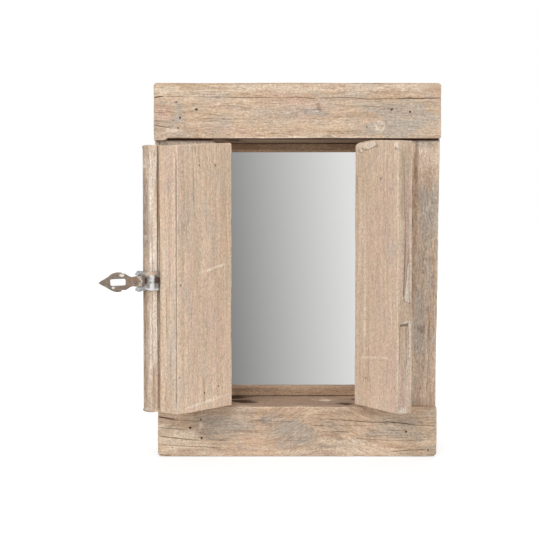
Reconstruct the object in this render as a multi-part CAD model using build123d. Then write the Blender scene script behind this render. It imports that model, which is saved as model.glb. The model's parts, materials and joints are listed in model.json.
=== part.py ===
from build123d import *
import math
import os

os.makedirs("parts", exist_ok=True)

# A mirror set in an old window frame, with two plank shutters that swing open in front of it.
# Lengths are in millimetres. X runs to the right, Y runs to the back and Z runs up.
# The origin is at the middle of the underside of the bottom rail.

# The frame: two heavy rails with two stiles tenoned between them.
top_rail_length = 300.0
bottom_rail_length = 294.0
rail_depth = 95.0
top_rail_height = 58.5
bottom_rail_height = 53.5
opening_height = 280.0
opening_width = 169.2
opening_shift = -3.1
stile_recess = 10.0
rail_corner_radius = 3.5
timber_arris_radius = 1.5

# The joints of the frame: stub tenons, each held by two square nails through the face of the rail.
tenon_thickness = 20.0
tenon_length = 24.0
tenon_shoulder = 12.0
tenon_clearance = 0.15
mortise_spare_depth = 1.0
corner_nail_head_width = 2.8
corner_nail_head_height = 1.0
corner_nail_shank_width = 2.2
corner_nail_length = 50.0
corner_nail_sink = 0.6

# The glass, the slips it lies against and the board behind it.
glass_thickness = 3.0
glass_clearance = 1.5
board_thickness = 4.0
board_rebate_width = 8.0
board_clearance = 0.5
slip_depth = 8.0
top_slip_width = 9.0
bottom_slip_width = 10.0
side_slip_width = 10.0
slip_bevel = 2.0
slip_pin_width = 1.4
slip_pin_length = 18.0
slip_pin_inset = 18.0
board_nail_head_width = 3.0
board_nail_head_height = 0.8
board_nail_shank_width = 1.6
board_nail_length = 18.0
board_nail_end_inset = 30.0

# Keyhole slots cut in the back of the stiles, to hang the frame on two wall screws.
keyhole_spacing = 234.0
keyhole_below_head = 34.0
keyhole_entry_radius = 5.0
keyhole_neck_radius = 2.5
keyhole_travel = 12.0
keyhole_depth = 12.0
keyhole_lip = 4.0

# The shutters: solid planks, cut a little lower towards their free edges. They meet off the middle.
shutter_thickness = 25.0
meeting_gap = 3.5
meeting_shift = 2.95
left_open_deg = 128.5
right_open_deg = 119.3
heel_gap = 1.5
left_foot_gap = 2.0
right_foot_gap = 2.6
left_head_gap = 4.3
right_head_gap = 4.5
left_head_fall = 6.1
right_head_fall = 1.0
left_crown_place = 25.0
right_crown_place = 30.0
left_crown_rise = -1.0
right_crown_rise = 1.8
left_corner_radius = 1.5
right_corner_radius = 5.0
shutter_arris_radius = 1.2
meeting_rebate_width = 10.5
meeting_rebate_depth = 8.0

# The butt hinges, let into the heel of each plank and the inner edge of its stile.
hinge_height = 38.0
hinge_inset = 46.0
leaf_thickness = 1.2
leaf_width = 11.5
leaf_proud = 0.2
knuckle_radius = 2.5
hinge_pin_radius = 1.25
hinge_running_gap = 0.05
knuckle_play = 0.3
end_knuckle_height = 11.5
hinge_pin_head_radius = 1.9
hinge_pin_head_height = 0.8
hinge_screw_spacing = 24.0
hinge_screw_head_radius = 2.2
hinge_screw_head_height = 1.0
hinge_screw_shank_radius = 1.1
hinge_screw_length = 14.0

# The astragal: a cover strip on the left shutter, with a round nose that laps the right one.
astragal_width = 28.0
astragal_thickness = 13.0
astragal_overhang = 12.5
astragal_nose_radius = 5.0
astragal_inner_nose_radius = 3.0
astragal_back_ovolo = 6.0
astragal_foot_gap = 1.2
astragal_length = 267.3
astragal_end_radius = 2.5
astragal_nail_head_width = 3.0
astragal_nail_head_height = 0.8
astragal_nail_shank_width = 2.0
astragal_nail_length = 30.0
astragal_nail_sink = 0.3
astragal_nail_end_inset = 26.0
astragal_nail_count = 4

# The hasp: an iron clip round the nose of the astragal, and a leaf-shaped strap on a pin.
hasp_height = 135.0
saddle_thickness = 1.5
saddle_height = 19.4
saddle_outer_leg = 18.0
saddle_seat_gap = 0.05
ear_height = 4.0
ear_play = 0.3
ear_stand_off = 5.5
hasp_axis_outward = 8.0
hasp_knuckle_radius = 3.2
hasp_pin_radius = 1.6
hasp_running_gap = 0.05
hasp_pin_head_radius = 2.4
hasp_pin_head_height = 0.6
square_nail_head = 7.0
web_nail_head_width = 4.5
square_nail_head_height = 0.8
square_nail_shank = 2.4
square_nail_length = 9.0
nail_hole_clearance = 0.05

strap_thickness = 2.0
strap_length = 40.3
strap_belly_half = 10.0
strap_belly_place = 20.7
strap_shoulder_half = 6.9
strap_shoulder_place = 11.3
strap_waist_half = 5.1
strap_waist_place = 7.2
strap_root_half = 5.3
strap_root_place = 1.2
strap_tail = 4.0
strap_ogee_half = 5.8
strap_ogee_place = 30.9
strap_tip_neck_half = 3.2
strap_tip_neck_place = 35.2
strap_slot_start = 13.7
strap_slot_length = 15.3
strap_slot_height = 6.6
strap_slot_corner = 1.5
strap_droop_deg = 2.5

# The staple on the right shutter, a square bar that stands through the slot of the strap.
staple_bar = 3.2
staple_outer_width = 13.2
staple_height = 19.0
staple_bite = 15.0

# One small overrun serves all the cuts, and one gap the fasteners' holes. Square nails end in a point.
overrun = 1.0
fastener_clearance = 0.05
nail_point_length = 4.0
nail_point_width = 0.4

# Places that follow from the sizes above.
front_y = -rail_depth / 2
back_y = rail_depth / 2
stile_front_y = front_y + stile_recess
sill_z = bottom_rail_height
head_z = sill_z + opening_height
top_z = head_z + top_rail_height
left_x = opening_shift - opening_width / 2
right_x = opening_shift + opening_width / 2
board_y = back_y - board_thickness
glass_y = board_y - glass_thickness
slip_y = glass_y - slip_depth
half_gap = heel_gap / 2
left_shutter_width = (opening_width - meeting_gap) / 2 - heel_gap + meeting_shift
right_shutter_width = (opening_width - meeting_gap) / 2 - heel_gap - meeting_shift
left_pivot_x = left_x + half_gap
right_pivot_x = right_x - half_gap
pivot_y = stile_front_y
LEFT = 1
RIGHT = -1


def block(x_low, x_high, y_low, y_high, z_low, z_high):
    """A plain block between two corners."""
    box = Box(x_high - x_low, y_high - y_low, z_high - z_low)
    return Pos((x_low + x_high) / 2, (y_low + y_high) / 2, (z_low + z_high) / 2) * box


def rod(x, y, z_low, z_high, radius):
    """A vertical round bar."""
    return Pos(x, y, (z_low + z_high) / 2) * Cylinder(radius, z_high - z_low)


def plug(radius, depth):
    """A round bar that starts at its own origin and runs along +Z."""
    return Cylinder(radius, depth, align=(Align.CENTER, Align.CENTER, Align.MIN))


def slab(points, y_low, y_high):
    """A board cut to an outline in X and Z, between two depths."""
    face = make_face(Polyline(*points, close=True))
    return extrude(Plane.XZ.offset(-y_high) * face, amount=y_high - y_low)


def screw(head_radius, head_height, shank_radius, length, grow=0.0):
    """A countersunk screw driven along +Z, or with grow the hole that it sits in."""
    top = -overrun if grow else 0.0
    head = head_radius + grow
    shank = shank_radius + grow
    points = [(0, top), (head, top), (head, 0), (shank, head_height), (shank, length + grow),
              (0, length + grow)]
    outline = [point for index, point in enumerate(points) if index == 0 or point != points[index - 1]]
    face = make_face(Polyline(*[(radius, 0, depth) for radius, depth in outline], close=True))
    return revolve(face, axis=Axis.Z)


def nail(head_width, head_height, shank_width, length, sink, grow=0.0):
    """A square nail driven along +Z, its head sunk under the face, or with grow the hole for it."""
    head = head_width / 2 + grow
    shank = shank_width / 2 + grow
    under_head = sink + head_height
    if grow:
        hole = block(-head, head, -head, head, -overrun, under_head)
        return hole + block(-shank, shank, -shank, shank, under_head, sink + length + grow)
    shoulder = sink + length - nail_point_length
    body = block(-head, head, -head, head, sink, under_head)
    body = body + block(-shank, shank, -shank, shank, under_head, shoulder)
    end = Pos(0, 0, shoulder + nail_point_length) * Rectangle(nail_point_width, nail_point_width)
    return body + loft([Pos(0, 0, shoulder) * Rectangle(shank_width, shank_width), end])


def drive(shape, origin, direction):
    """Turn a fastener to the direction it is driven in, with its head at the origin given."""
    return Plane(origin=origin, z_dir=direction).location * shape


def fasteners(kind, places, sizes):
    """All the nails or screws of one kind, as a list of solids."""
    return [drive(kind(*sizes), origin, direction) for origin, direction in places]


def fastener_holes(kind, places, sizes):
    """The holes for them."""
    return [drive(kind(*sizes, fastener_clearance), origin, direction) for origin, direction in places]


def cut(shape, tools):
    """Cut every tool from a shape."""
    for tool in tools:
        shape = shape - tool
    return shape


def hand(shape, side):
    """Shapes are drawn for the left shutter, and mirrored for the right one."""
    return shape if side == LEFT else mirror(shape, about=Plane.YZ)


def at_pivot(shape, side):
    """Put a shape drawn round a closed shutter's pivot in its place on the frame, not turned."""
    pivot_x = left_pivot_x if side == LEFT else right_pivot_x
    return Pos(pivot_x, pivot_y, 0) * hand(shape, side)


def opened(shape, side):
    """Put a shape drawn on a closed shutter in its place on the open shutter."""
    pivot_x = left_pivot_x if side == LEFT else right_pivot_x
    open_deg = left_open_deg if side == LEFT else right_open_deg
    return Pos(pivot_x, pivot_y, 0) * Rot(0, 0, -side * open_deg) * hand(shape, side)


def write(name, shape):
    """Write one node, which may hold several solids."""
    if isinstance(shape, list):
        shape = Compound(children=shape)
    export_step(shape, "parts/" + name + ".step")


# Places of the fasteners, each a point and the direction it is driven in.

def corner_nail_places():
    """Two nails a corner, as shares of the stile's width and of the rail's height."""
    across_shares = {("left", "top"): (0.28, 0.62), ("right", "top"): (0.24, 0.52),
                     ("left", "bottom"): (0.22, 0.42), ("right", "bottom"): (0.30, 0.50)}
    height_shares = {("left", "top"): (0.52, 0.65), ("right", "top"): (0.52, 0.48),
                     ("left", "bottom"): (0.74, 0.58), ("right", "bottom"): (0.66, 0.50)}
    places = []
    for (side, level), shares in across_shares.items():
        inner = left_x if side == "left" else right_x
        length = top_rail_length if level == "top" else bottom_rail_length
        outer = -length / 2 if side == "left" else length / 2
        rail_low = head_z if level == "top" else 0
        rail_height = top_rail_height if level == "top" else bottom_rail_height
        for across, height in zip(shares, height_shares[(side, level)]):
            x = inner + (outer - inner) * across
            places.append(((x, front_y, rail_low + rail_height * height), (0, 1, 0)))
    return places


def slip_pin_places():
    """Brads through the middle of each slip into the timber behind it."""
    y = slip_y + slip_depth / 2
    spread = opening_width / 2 - slip_pin_inset
    rise = opening_height / 2 - slip_pin_inset
    middle_z = sill_z + opening_height / 2
    places = []
    for share in (-1, 0, 1):
        places.append(((opening_shift + share * spread, y, head_z - top_slip_width), (0, 0, 1)))
        places.append(((opening_shift + share * spread, y, sill_z + bottom_slip_width), (0, 0, -1)))
        places.append(((left_x + side_slip_width, y, middle_z + share * rise), (-1, 0, 0)))
        places.append(((right_x - side_slip_width, y, middle_z + share * rise), (1, 0, 0)))
    return places


def board_nail_places():
    """Two nails along each edge of the backing board."""
    seam = board_rebate_width / 2
    spread = opening_width / 2 - board_nail_end_inset
    rise = opening_height / 2 - board_nail_end_inset
    middle_z = sill_z + opening_height / 2
    places = []
    for share in (-1, 1):
        for z in (sill_z - seam, head_z + seam):
            places.append(((opening_shift + share * spread, back_y, z), (0, -1, 0)))
        for x in (left_x - seam, right_x + seam):
            places.append(((x, back_y, middle_z + share * rise), (0, -1, 0)))
    return places


corner_nail = (corner_nail_head_width, corner_nail_head_height, corner_nail_shank_width,
               corner_nail_length, corner_nail_sink)
slip_pin = (slip_pin_width, slip_pin_width, slip_pin_width, slip_pin_length, 0)
board_nail = (board_nail_head_width, board_nail_head_height, board_nail_shank_width,
              board_nail_length, 0)
hinge_screw = (hinge_screw_head_radius, hinge_screw_head_height, hinge_screw_shank_radius,
               hinge_screw_length)
astragal_nail = (astragal_nail_head_width, astragal_nail_head_height, astragal_nail_shank_width,
                 astragal_nail_length, astragal_nail_sink)


# The hinges, drawn round the pivot of a closed left shutter.

leaf_near = half_gap - leaf_proud
leaf_far = leaf_near + leaf_thickness
knuckle_pocket = knuckle_radius + knuckle_play


def hinge_levels(side):
    """The heights of the middles of the two hinges of a shutter."""
    head_gap = left_head_gap if side == LEFT else right_head_gap
    foot_gap = left_foot_gap if side == LEFT else right_foot_gap
    low = sill_z + foot_gap + hinge_inset
    high = head_z - head_gap - hinge_inset
    return low, high


def hinge_leaf(level, frame_leaf):
    """One leaf with its knuckles: two end ones on the frame's leaf, the middle one on the other."""
    low = level - hinge_height / 2
    high = level + hinge_height / 2
    if frame_leaf:
        x_low, x_high = -leaf_far, -leaf_near
        knuckles = [(low, low + end_knuckle_height), (high - end_knuckle_height, high)]
    else:
        x_low, x_high = leaf_near, leaf_far
        knuckles = [(low + end_knuckle_height + knuckle_play, high - end_knuckle_height - knuckle_play)]
    leaf = block(x_low, x_high, knuckle_pocket, leaf_width, low, high)
    for knuckle_low, knuckle_high in knuckles:
        leaf = leaf + block(x_low, x_high, 0, knuckle_pocket, knuckle_low, knuckle_high)
        leaf = leaf + rod(0, 0, knuckle_low, knuckle_high, knuckle_radius)
    leaf = leaf - rod(0, 0, low - overrun, high + overrun, hinge_pin_radius + hinge_running_gap)
    return cut(leaf, fastener_holes(screw, hinge_screw_places(level, frame_leaf), hinge_screw))


def hinge_screw_places(level, frame_leaf):
    """Two screws in each leaf."""
    direction = -1 if frame_leaf else 1
    y = (knuckle_pocket + leaf_width) / 2
    levels = [level - hinge_screw_spacing / 2, level + hinge_screw_spacing / 2]
    return [((direction * leaf_near, y, z), (direction, 0, 0)) for z in levels]


def hinge_pin(level):
    """The pin, with a button at each end."""
    low = level - hinge_height / 2
    high = level + hinge_height / 2
    pin = rod(0, 0, low, high, hinge_pin_radius)
    pin = pin + rod(0, 0, high, high + hinge_pin_head_height, hinge_pin_head_radius)
    return pin + rod(0, 0, low - hinge_pin_head_height, low, hinge_pin_head_radius)


def hinge_seat(level, frame_leaf):
    """What is cut from the timber for a leaf and for the round of the knuckles."""
    low = level - hinge_height / 2
    high = level + hinge_height / 2
    head = hinge_pin_head_height + knuckle_play
    pocket = rod(0, 0, low - head, high + head, knuckle_pocket)
    x_low, x_high = (-leaf_far, overrun) if frame_leaf else (-overrun, leaf_far)
    seat = block(x_low, x_high, -overrun, leaf_width, low, high)
    return [pocket, seat] + fastener_holes(screw, hinge_screw_places(level, frame_leaf), hinge_screw)


# The frame.

def rail(length, z_low, z_high):
    """A beam with round corners and a soft front arris."""
    beam = block(-length / 2, length / 2, front_y, back_y, z_low, z_high)
    beam = fillet(beam.edges().filter_by(Axis.Y), rail_corner_radius)
    return fillet(beam.faces().sort_by(Axis.Y)[0].edges(), timber_arris_radius)


def tenon_span(side, level):
    """The inner and outer ends of a tenon, set in from the edges of its stile."""
    inner = left_x if side == LEFT else right_x
    length = top_rail_length if level == "top" else bottom_rail_length
    outer = -side * length / 2
    ends = sorted((inner - side * tenon_shoulder, outer + side * tenon_shoulder))
    return ends[0], ends[1]


def tenon(side, level, grow):
    """A stub tenon, or with grow the mortise for it."""
    x_low, x_high = tenon_span(side, level)
    y_middle = (stile_front_y + back_y) / 2 - tenon_thickness / 2
    y_low = y_middle - tenon_thickness / 2 - grow
    y_high = y_middle + tenon_thickness / 2 + grow
    reach = tenon_length + (mortise_spare_depth if grow else 0)
    root = overrun
    if level == "top":
        return block(x_low - grow, x_high + grow, y_low, y_high, head_z - root, head_z + reach)
    return block(x_low - grow, x_high + grow, y_low, y_high, sill_z - reach, sill_z + root)


def keyhole(x):
    """A round entry with a narrow slot above it, undercut for the head of a wall screw."""
    low = head_z - keyhole_below_head
    high = low + keyhole_travel
    bottom = back_y - keyhole_depth
    mouth = back_y + overrun
    lip = back_y - keyhole_lip
    inward = (0, -1, 0)
    entry = drive(plug(keyhole_entry_radius, mouth - bottom), (x, mouth, low), inward)
    neck = block(x - keyhole_neck_radius, x + keyhole_neck_radius, bottom, mouth, low, high)
    neck_end = drive(plug(keyhole_neck_radius, mouth - bottom), (x, mouth, high), inward)
    under = block(x - keyhole_entry_radius, x + keyhole_entry_radius, bottom, lip, low, high)
    under_end = drive(plug(keyhole_entry_radius, lip - bottom), (x, lip, high), inward)
    return entry + neck + neck_end + under + under_end


def board_rebate():
    """The rebate round the opening, at the back, that the backing board lies in."""
    return block(left_x - board_rebate_width, right_x + board_rebate_width, board_y, back_y + overrun,
                 sill_z - board_rebate_width, head_z + board_rebate_width)


def stile(side):
    """An upright, tapered to the two lengths of the rails, with its tenons, hinge seats and keyhole."""
    inner = left_x if side == LEFT else right_x
    outer_low = -side * bottom_rail_length / 2
    outer_high = -side * top_rail_length / 2
    board = slab([(inner, sill_z), (outer_low, sill_z), (outer_high, head_z), (inner, head_z)],
                 stile_front_y, back_y)
    outer_face = board.faces().sort_by(Axis.X)[0 if side == LEFT else -1]
    long_edges = [edge for edge in outer_face.edges() if edge.length > opening_height / 2]
    board = fillet(long_edges, timber_arris_radius)
    board = board + tenon(side, "top", 0) + tenon(side, "bottom", 0)
    board = board - board_rebate()
    for level in hinge_levels(side):
        board = cut(board, [at_pivot(tool, side) for tool in hinge_seat(level, True)])
    board = board - keyhole(-side * keyhole_spacing / 2)
    board = cut(board, fastener_holes(nail, slip_pin_places(), slip_pin))
    board = cut(board, fastener_holes(nail, board_nail_places(), board_nail))
    return cut(board, fastener_holes(nail, corner_nail_places(), corner_nail))


def build_frame():
    """The two rails, the two stiles and the nails through the corners."""
    for name, level, length, z_low, z_high in (
            ("top_rail", "top", top_rail_length, head_z, top_z),
            ("bottom_rail", "bottom", bottom_rail_length, 0, sill_z)):
        beam = rail(length, z_low, z_high)
        beam = cut(beam, [tenon(LEFT, level, tenon_clearance), tenon(RIGHT, level, tenon_clearance)])
        beam = beam - board_rebate()
        beam = cut(beam, fastener_holes(nail, corner_nail_places(), corner_nail))
        beam = cut(beam, fastener_holes(nail, slip_pin_places(), slip_pin))
        beam = cut(beam, fastener_holes(nail, board_nail_places(), board_nail))
        write(name, beam)
    write("left_stile", stile(LEFT))
    write("right_stile", stile(RIGHT))
    write("corner_nails", fasteners(nail, corner_nail_places(), corner_nail))


# The glass and what holds it.

def slip(x_low, x_high, z_low, z_high, bevel_axis, bevel_sign):
    """A square strip with a bevel on the front arris that faces the glass."""
    strip = block(x_low, x_high, slip_y, glass_y, z_low, z_high)
    along = Axis.X if bevel_axis == "z" else Axis.Z
    across = Axis.Z if bevel_axis == "z" else Axis.X
    edges = strip.edges().filter_by(along).sort_by(Axis.Y)[:2].sort_by(across)
    strip = chamfer(edges[-1 if bevel_sign > 0 else 0], slip_bevel)
    return cut(strip, fastener_holes(nail, slip_pin_places(), slip_pin))


def build_mirror():
    """The four slips, the glass, the board behind it and their pins and nails."""
    side_low = sill_z + bottom_slip_width
    side_high = head_z - top_slip_width
    write("top_slip", slip(left_x, right_x, side_high, head_z, "z", -1))
    write("bottom_slip", slip(left_x, right_x, sill_z, side_low, "z", 1))
    write("left_slip", slip(left_x, left_x + side_slip_width, side_low, side_high, "x", 1))
    write("right_slip", slip(right_x - side_slip_width, right_x, side_low, side_high, "x", -1))
    write("slip_pins", fasteners(nail, slip_pin_places(), slip_pin))
    write("mirror_glass", block(left_x + glass_clearance, right_x - glass_clearance, glass_y, board_y,
                                sill_z + glass_clearance, head_z - glass_clearance))
    edge = board_rebate_width - board_clearance
    board = block(left_x - edge, right_x + edge, board_y, back_y, sill_z - edge, head_z + edge)
    write("backing_board", cut(board, fastener_holes(nail, board_nail_places(), board_nail)))
    write("backing_nails", fasteners(nail, board_nail_places(), board_nail))


# The shutters, drawn closed round their pivots. Their outer faces lie at Y zero.

def shutter_foot(side):
    """The height of a shutter's lower end."""
    return sill_z + (left_foot_gap if side == LEFT else right_foot_gap)


def free_edge(side):
    """How far a shutter's free edge lies from its pivot."""
    return half_gap + (left_shutter_width if side == LEFT else right_shutter_width)


def plank(side):
    """A solid plank with a crowned and falling head, soft arrises inside and its hinge seats."""
    head_gap = left_head_gap if side == LEFT else right_head_gap
    fall = left_head_fall if side == LEFT else right_head_fall
    crown = left_crown_place if side == LEFT else right_crown_place
    rise = left_crown_rise if side == LEFT else right_crown_rise
    corner = left_corner_radius if side == LEFT else right_corner_radius
    free = free_edge(side)
    foot = shutter_foot(side)
    head = head_z - head_gap
    board = slab([(half_gap, foot), (free, foot), (free, head - fall), (crown, head + rise),
                  (half_gap, head)], 0, shutter_thickness)
    heel_head = board.edges().filter_by(Axis.Y).sort_by(Axis.X)[:2].sort_by(Axis.Z)[-1]
    board = fillet(heel_head, corner)
    board = fillet(board.faces().sort_by(Axis.Y)[-1].edges(), shutter_arris_radius)
    for level in hinge_levels(side):
        board = cut(board, hinge_seat(level, False))
    return board


def build_hinges():
    """Two butt hinges a shutter: a leaf on the stile, a leaf on the plank and a pin."""
    frame_screws = []
    for side, name in ((LEFT, "left"), (RIGHT, "right")):
        shutter_screws = []
        for level, place in zip(hinge_levels(side), ("lower", "upper")):
            title = name + "_" + place + "_hinge_"
            write(title + "frame_leaf", at_pivot(hinge_leaf(level, True), side))
            write(title + "shutter_leaf", opened(hinge_leaf(level, False), side))
            write(title + "pin", at_pivot(hinge_pin(level), side))
            frame_screws += [at_pivot(one, side) for one in
                             fasteners(screw, hinge_screw_places(level, True), hinge_screw)]
            shutter_screws += [opened(one, side) for one in
                               fasteners(screw, hinge_screw_places(level, False), hinge_screw)]
        write(name + "_shutter_hinge_screws", shutter_screws)
    write("frame_hinge_screws", frame_screws)


# The astragal and the clip of the hasp, drawn on the closed left shutter.

meeting = free_edge(LEFT)
nose = meeting + astragal_overhang
hasp_z = sill_z + hasp_height
hasp_axis_x = nose + saddle_thickness + ear_stand_off
hasp_axis_y = -hasp_axis_outward
astragal_low = shutter_foot(LEFT) + astragal_foot_gap


def nose_section(grow):
    """The section of the strip: square at the back, round at the nose, with an ovolo behind."""
    back = nose - astragal_width
    outline = Polyline((back, grow), (nose + grow, grow), (nose + grow, -astragal_thickness - grow),
                       (back, -astragal_thickness - grow), close=True)
    face = make_face(outline)
    corners = face.vertices().sort_by(Axis.X)[-2:].sort_by(Axis.Y)
    face = fillet(corners[0], astragal_nose_radius + grow)
    corners = face.vertices().sort_by(Axis.Y)[-2:].sort_by(Axis.X)
    return fillet(corners[-1], astragal_inner_nose_radius + grow)


def astragal_nail_places():
    """Nails down the middle of the part that lies on the plank."""
    x = meeting - (astragal_width - astragal_overhang) / 2
    first = astragal_low + astragal_nail_end_inset
    span = astragal_length - astragal_nail_end_inset - astragal_nail_end_inset
    step = span / (astragal_nail_count - 1)
    levels = [first + step * index for index in range(astragal_nail_count)]
    return [((x, -astragal_thickness, z), (0, 1, 0)) for z in levels]


def square_nail(width, height, grow=0.0):
    """A forged nail with a flat head, driven along +Z, or with grow the hole for its shank."""
    shank = square_nail_shank + grow + grow
    length = square_nail_length + grow
    stem = Box(shank, shank, length, align=(Align.CENTER, Align.CENTER, Align.MIN))
    if grow:
        return stem
    head = Box(width, height, square_nail_head_height, align=(Align.CENTER, Align.CENTER, Align.MAX))
    return stem + head


def saddle_nail_places():
    """One nail in the web of the clip, one in its inner leg and two in its outer leg."""
    web_y = -astragal_thickness / 2
    inner_x = meeting + astragal_overhang / 2
    outer_x = nose - astragal_nose_radius - saddle_outer_leg / 2
    skin = saddle_thickness + saddle_seat_gap
    quarter = saddle_height / 4
    return [((nose + skin, web_y, hasp_z), (-1, 0, 0), web_nail_head_width, square_nail_head),
            ((inner_x, skin, hasp_z), (0, -1, 0), square_nail_head, square_nail_head),
            ((outer_x, -astragal_thickness - skin, hasp_z - quarter), (0, 1, 0),
             web_nail_head_width, web_nail_head_width),
            ((outer_x, -astragal_thickness - skin, hasp_z + quarter), (0, 1, 0),
             web_nail_head_width, web_nail_head_width)]


def aimed_nail(place, grow=0.0):
    """A square nail of the clip, turned so that its head stays upright."""
    origin, direction, width, height = place
    across = (0, 1, 0) if direction[0] else (1, 0, 0)
    plane = Plane(origin=origin, x_dir=across, z_dir=direction)
    return plane.location * square_nail(width, height, grow)


def worn_end(end_z, direction):
    """What is worn off the corner of the nose at one end of the strip."""
    centre_x = nose - astragal_end_radius
    centre_z = end_z - direction * astragal_end_radius
    levels = sorted((centre_z, end_z + direction * overrun))
    corner = block(centre_x, nose + overrun, -astragal_thickness - overrun, overrun, *levels)
    round_bar = plug(astragal_end_radius, astragal_thickness + overrun + overrun + overrun)
    return corner - drive(round_bar, (centre_x, -astragal_thickness - overrun - overrun, centre_z), (0, 1, 0))


def astragal():
    """The cover strip, with its ends worn round at the nose."""
    strip = extrude(nose_section(0), amount=astragal_length)
    back_edge = strip.edges().filter_by(Axis.Z).sort_by(Axis.X)[:2].sort_by(Axis.Y)[0]
    strip = fillet(back_edge, astragal_back_ovolo)
    strip = Pos(0, 0, astragal_low) * strip
    strip = cut(strip, [worn_end(astragal_low, -1), worn_end(astragal_low + astragal_length, 1)])
    strip = cut(strip, fastener_holes(nail, astragal_nail_places(), astragal_nail))
    return cut(strip, [aimed_nail(place, nail_hole_clearance) for place in saddle_nail_places()])


def saddle():
    """An iron strip bent round the nose, with two ears that hold the pin of the strap."""
    low = hasp_z - saddle_height / 2
    high = hasp_z + saddle_height / 2
    outer = extrude(nose_section(saddle_thickness + saddle_seat_gap), amount=saddle_height)
    inner = extrude(nose_section(saddle_seat_gap), amount=saddle_height)
    clip = Pos(0, 0, low) * (outer - inner)
    leg_end = nose - astragal_nose_radius - saddle_outer_leg
    clip = clip - block(nose - astragal_width - overrun, leg_end, -astragal_thickness - astragal_width,
                        astragal_width, low - overrun, high + overrun)
    clip = clip - block(leg_end - overrun, meeting + saddle_seat_gap, -saddle_thickness, astragal_width,
                        low - overrun, high + overrun)
    for ear_low in (low, high - ear_height):
        ear = rod(hasp_axis_x, hasp_axis_y, ear_low, ear_low + ear_height, hasp_knuckle_radius)
        root = block(nose + saddle_seat_gap, hasp_axis_x, hasp_axis_y - hasp_knuckle_radius,
                     hasp_axis_y + hasp_knuckle_radius, ear_low, ear_low + ear_height)
        clip = clip + ear + root
    clip = clip - rod(hasp_axis_x, hasp_axis_y, low - overrun, high + overrun,
                      hasp_pin_radius + hasp_running_gap)
    return cut(clip, [aimed_nail(place, nail_hole_clearance) for place in saddle_nail_places()])


def hasp_pin():
    """The pin of the strap, riveted over at both ends."""
    low = hasp_z - saddle_height / 2
    high = hasp_z + saddle_height / 2
    pin = rod(hasp_axis_x, hasp_axis_y, low, high, hasp_pin_radius)
    pin = pin + rod(hasp_axis_x, hasp_axis_y, high, high + hasp_pin_head_height, hasp_pin_head_radius)
    return pin + rod(hasp_axis_x, hasp_axis_y, low - hasp_pin_head_height, low, hasp_pin_head_radius)


def build_left_shutter():
    """The left plank with its astragal and the fixed half of the hasp."""
    board = cut(plank(LEFT), fastener_holes(nail, astragal_nail_places(), astragal_nail))
    write("left_shutter", opened(board, LEFT))
    write("astragal", opened(astragal(), LEFT))
    write("astragal_nails", [opened(one, LEFT) for one in
                             fasteners(nail, astragal_nail_places(), astragal_nail)])
    write("hasp_saddle", opened(saddle(), LEFT))
    write("hasp_saddle_nails", [opened(aimed_nail(place), LEFT) for place in saddle_nail_places()])
    write("hasp_pin", opened(hasp_pin(), LEFT))


# The strap lies across the front, square to the view, when the left shutter is open.

def strap_axis():
    """Where the axis of the strap stands when the left shutter is open as modelled."""
    turn = math.radians(-left_open_deg)
    x = left_pivot_x + hasp_axis_x * math.cos(turn) - hasp_axis_y * math.sin(turn)
    y = pivot_y + hasp_axis_x * math.sin(turn) + hasp_axis_y * math.cos(turn)
    return x, y


def strap_edge(sign):
    """One long edge of the strap, from its tail to its tip, in length and half width."""
    tail = (-strap_tail, 0)
    root = (strap_root_place, sign * strap_root_half)
    waist = (strap_waist_place, sign * strap_waist_half)
    shoulder = (strap_shoulder_place, sign * strap_shoulder_half)
    belly = (strap_belly_place, sign * strap_belly_half)
    ogee = (strap_ogee_place, sign * strap_ogee_half)
    tip_neck = (strap_tip_neck_place, sign * strap_tip_neck_half)
    tip = (strap_length, 0)
    return [Line(tail, root), ThreePointArc(root, waist, shoulder), ThreePointArc(shoulder, belly, ogee),
            ThreePointArc(ogee, tip_neck, tip)]


def strap():
    """A leaf-shaped plate with a long slot, on a knuckle that turns between the ears."""
    face = make_face(strap_edge(1) + strap_edge(-1))
    slot_middle = strap_slot_start + strap_slot_length / 2
    slot = Pos(slot_middle, 0) * RectangleRounded(strap_slot_length, strap_slot_height, strap_slot_corner)
    face = face - slot
    plate = extrude(face, amount=strap_thickness)
    x, y = strap_axis()
    upright = Plane(origin=(x, y - hasp_knuckle_radius + strap_thickness, hasp_z),
                    x_dir=(-1, 0, 0), z_dir=(0, -1, 0))
    plate = upright.location * Rot(0, 0, strap_droop_deg) * plate
    half = saddle_height / 2 - ear_height - ear_play
    knuckle = rod(x, y, hasp_z - half, hasp_z + half, hasp_knuckle_radius)
    bore = rod(x, y, hasp_z - saddle_height, hasp_z + saddle_height, hasp_pin_radius + hasp_running_gap)
    return plate + knuckle - bore


def staple_place():
    """How far the staple stands from the right shutter's pivot, so that the slot drops over it."""
    slot_middle = strap_slot_start + strap_slot_length / 2
    across = right_pivot_x - left_pivot_x
    return across - hasp_axis_x - slot_middle * math.cos(math.radians(strap_droop_deg))


def staple(grow):
    """A bar bent to an eye, its legs driven into the plank, or with grow the holes for them."""
    legs = (staple_outer_width - staple_bar) / 2
    z = hasp_z - (strap_slot_start + strap_slot_length / 2) * math.sin(math.radians(strap_droop_deg))
    x = staple_place()
    bend_y = -(staple_height - staple_bar / 2 - legs)
    inside = staple_bite + grow
    path = Polyline((x - legs, inside, z), (x - legs, bend_y, z))
    path = path + ThreePointArc((x - legs, bend_y, z), (x, bend_y - legs, z), (x + legs, bend_y, z))
    path = path + Polyline((x + legs, bend_y, z), (x + legs, inside, z))
    bar = staple_bar + grow + grow
    end = Plane(origin=(x - legs, inside, z), x_dir=(1, 0, 0), z_dir=(0, -1, 0)) * Rectangle(bar, bar)
    return sweep(end, path=path)


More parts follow.
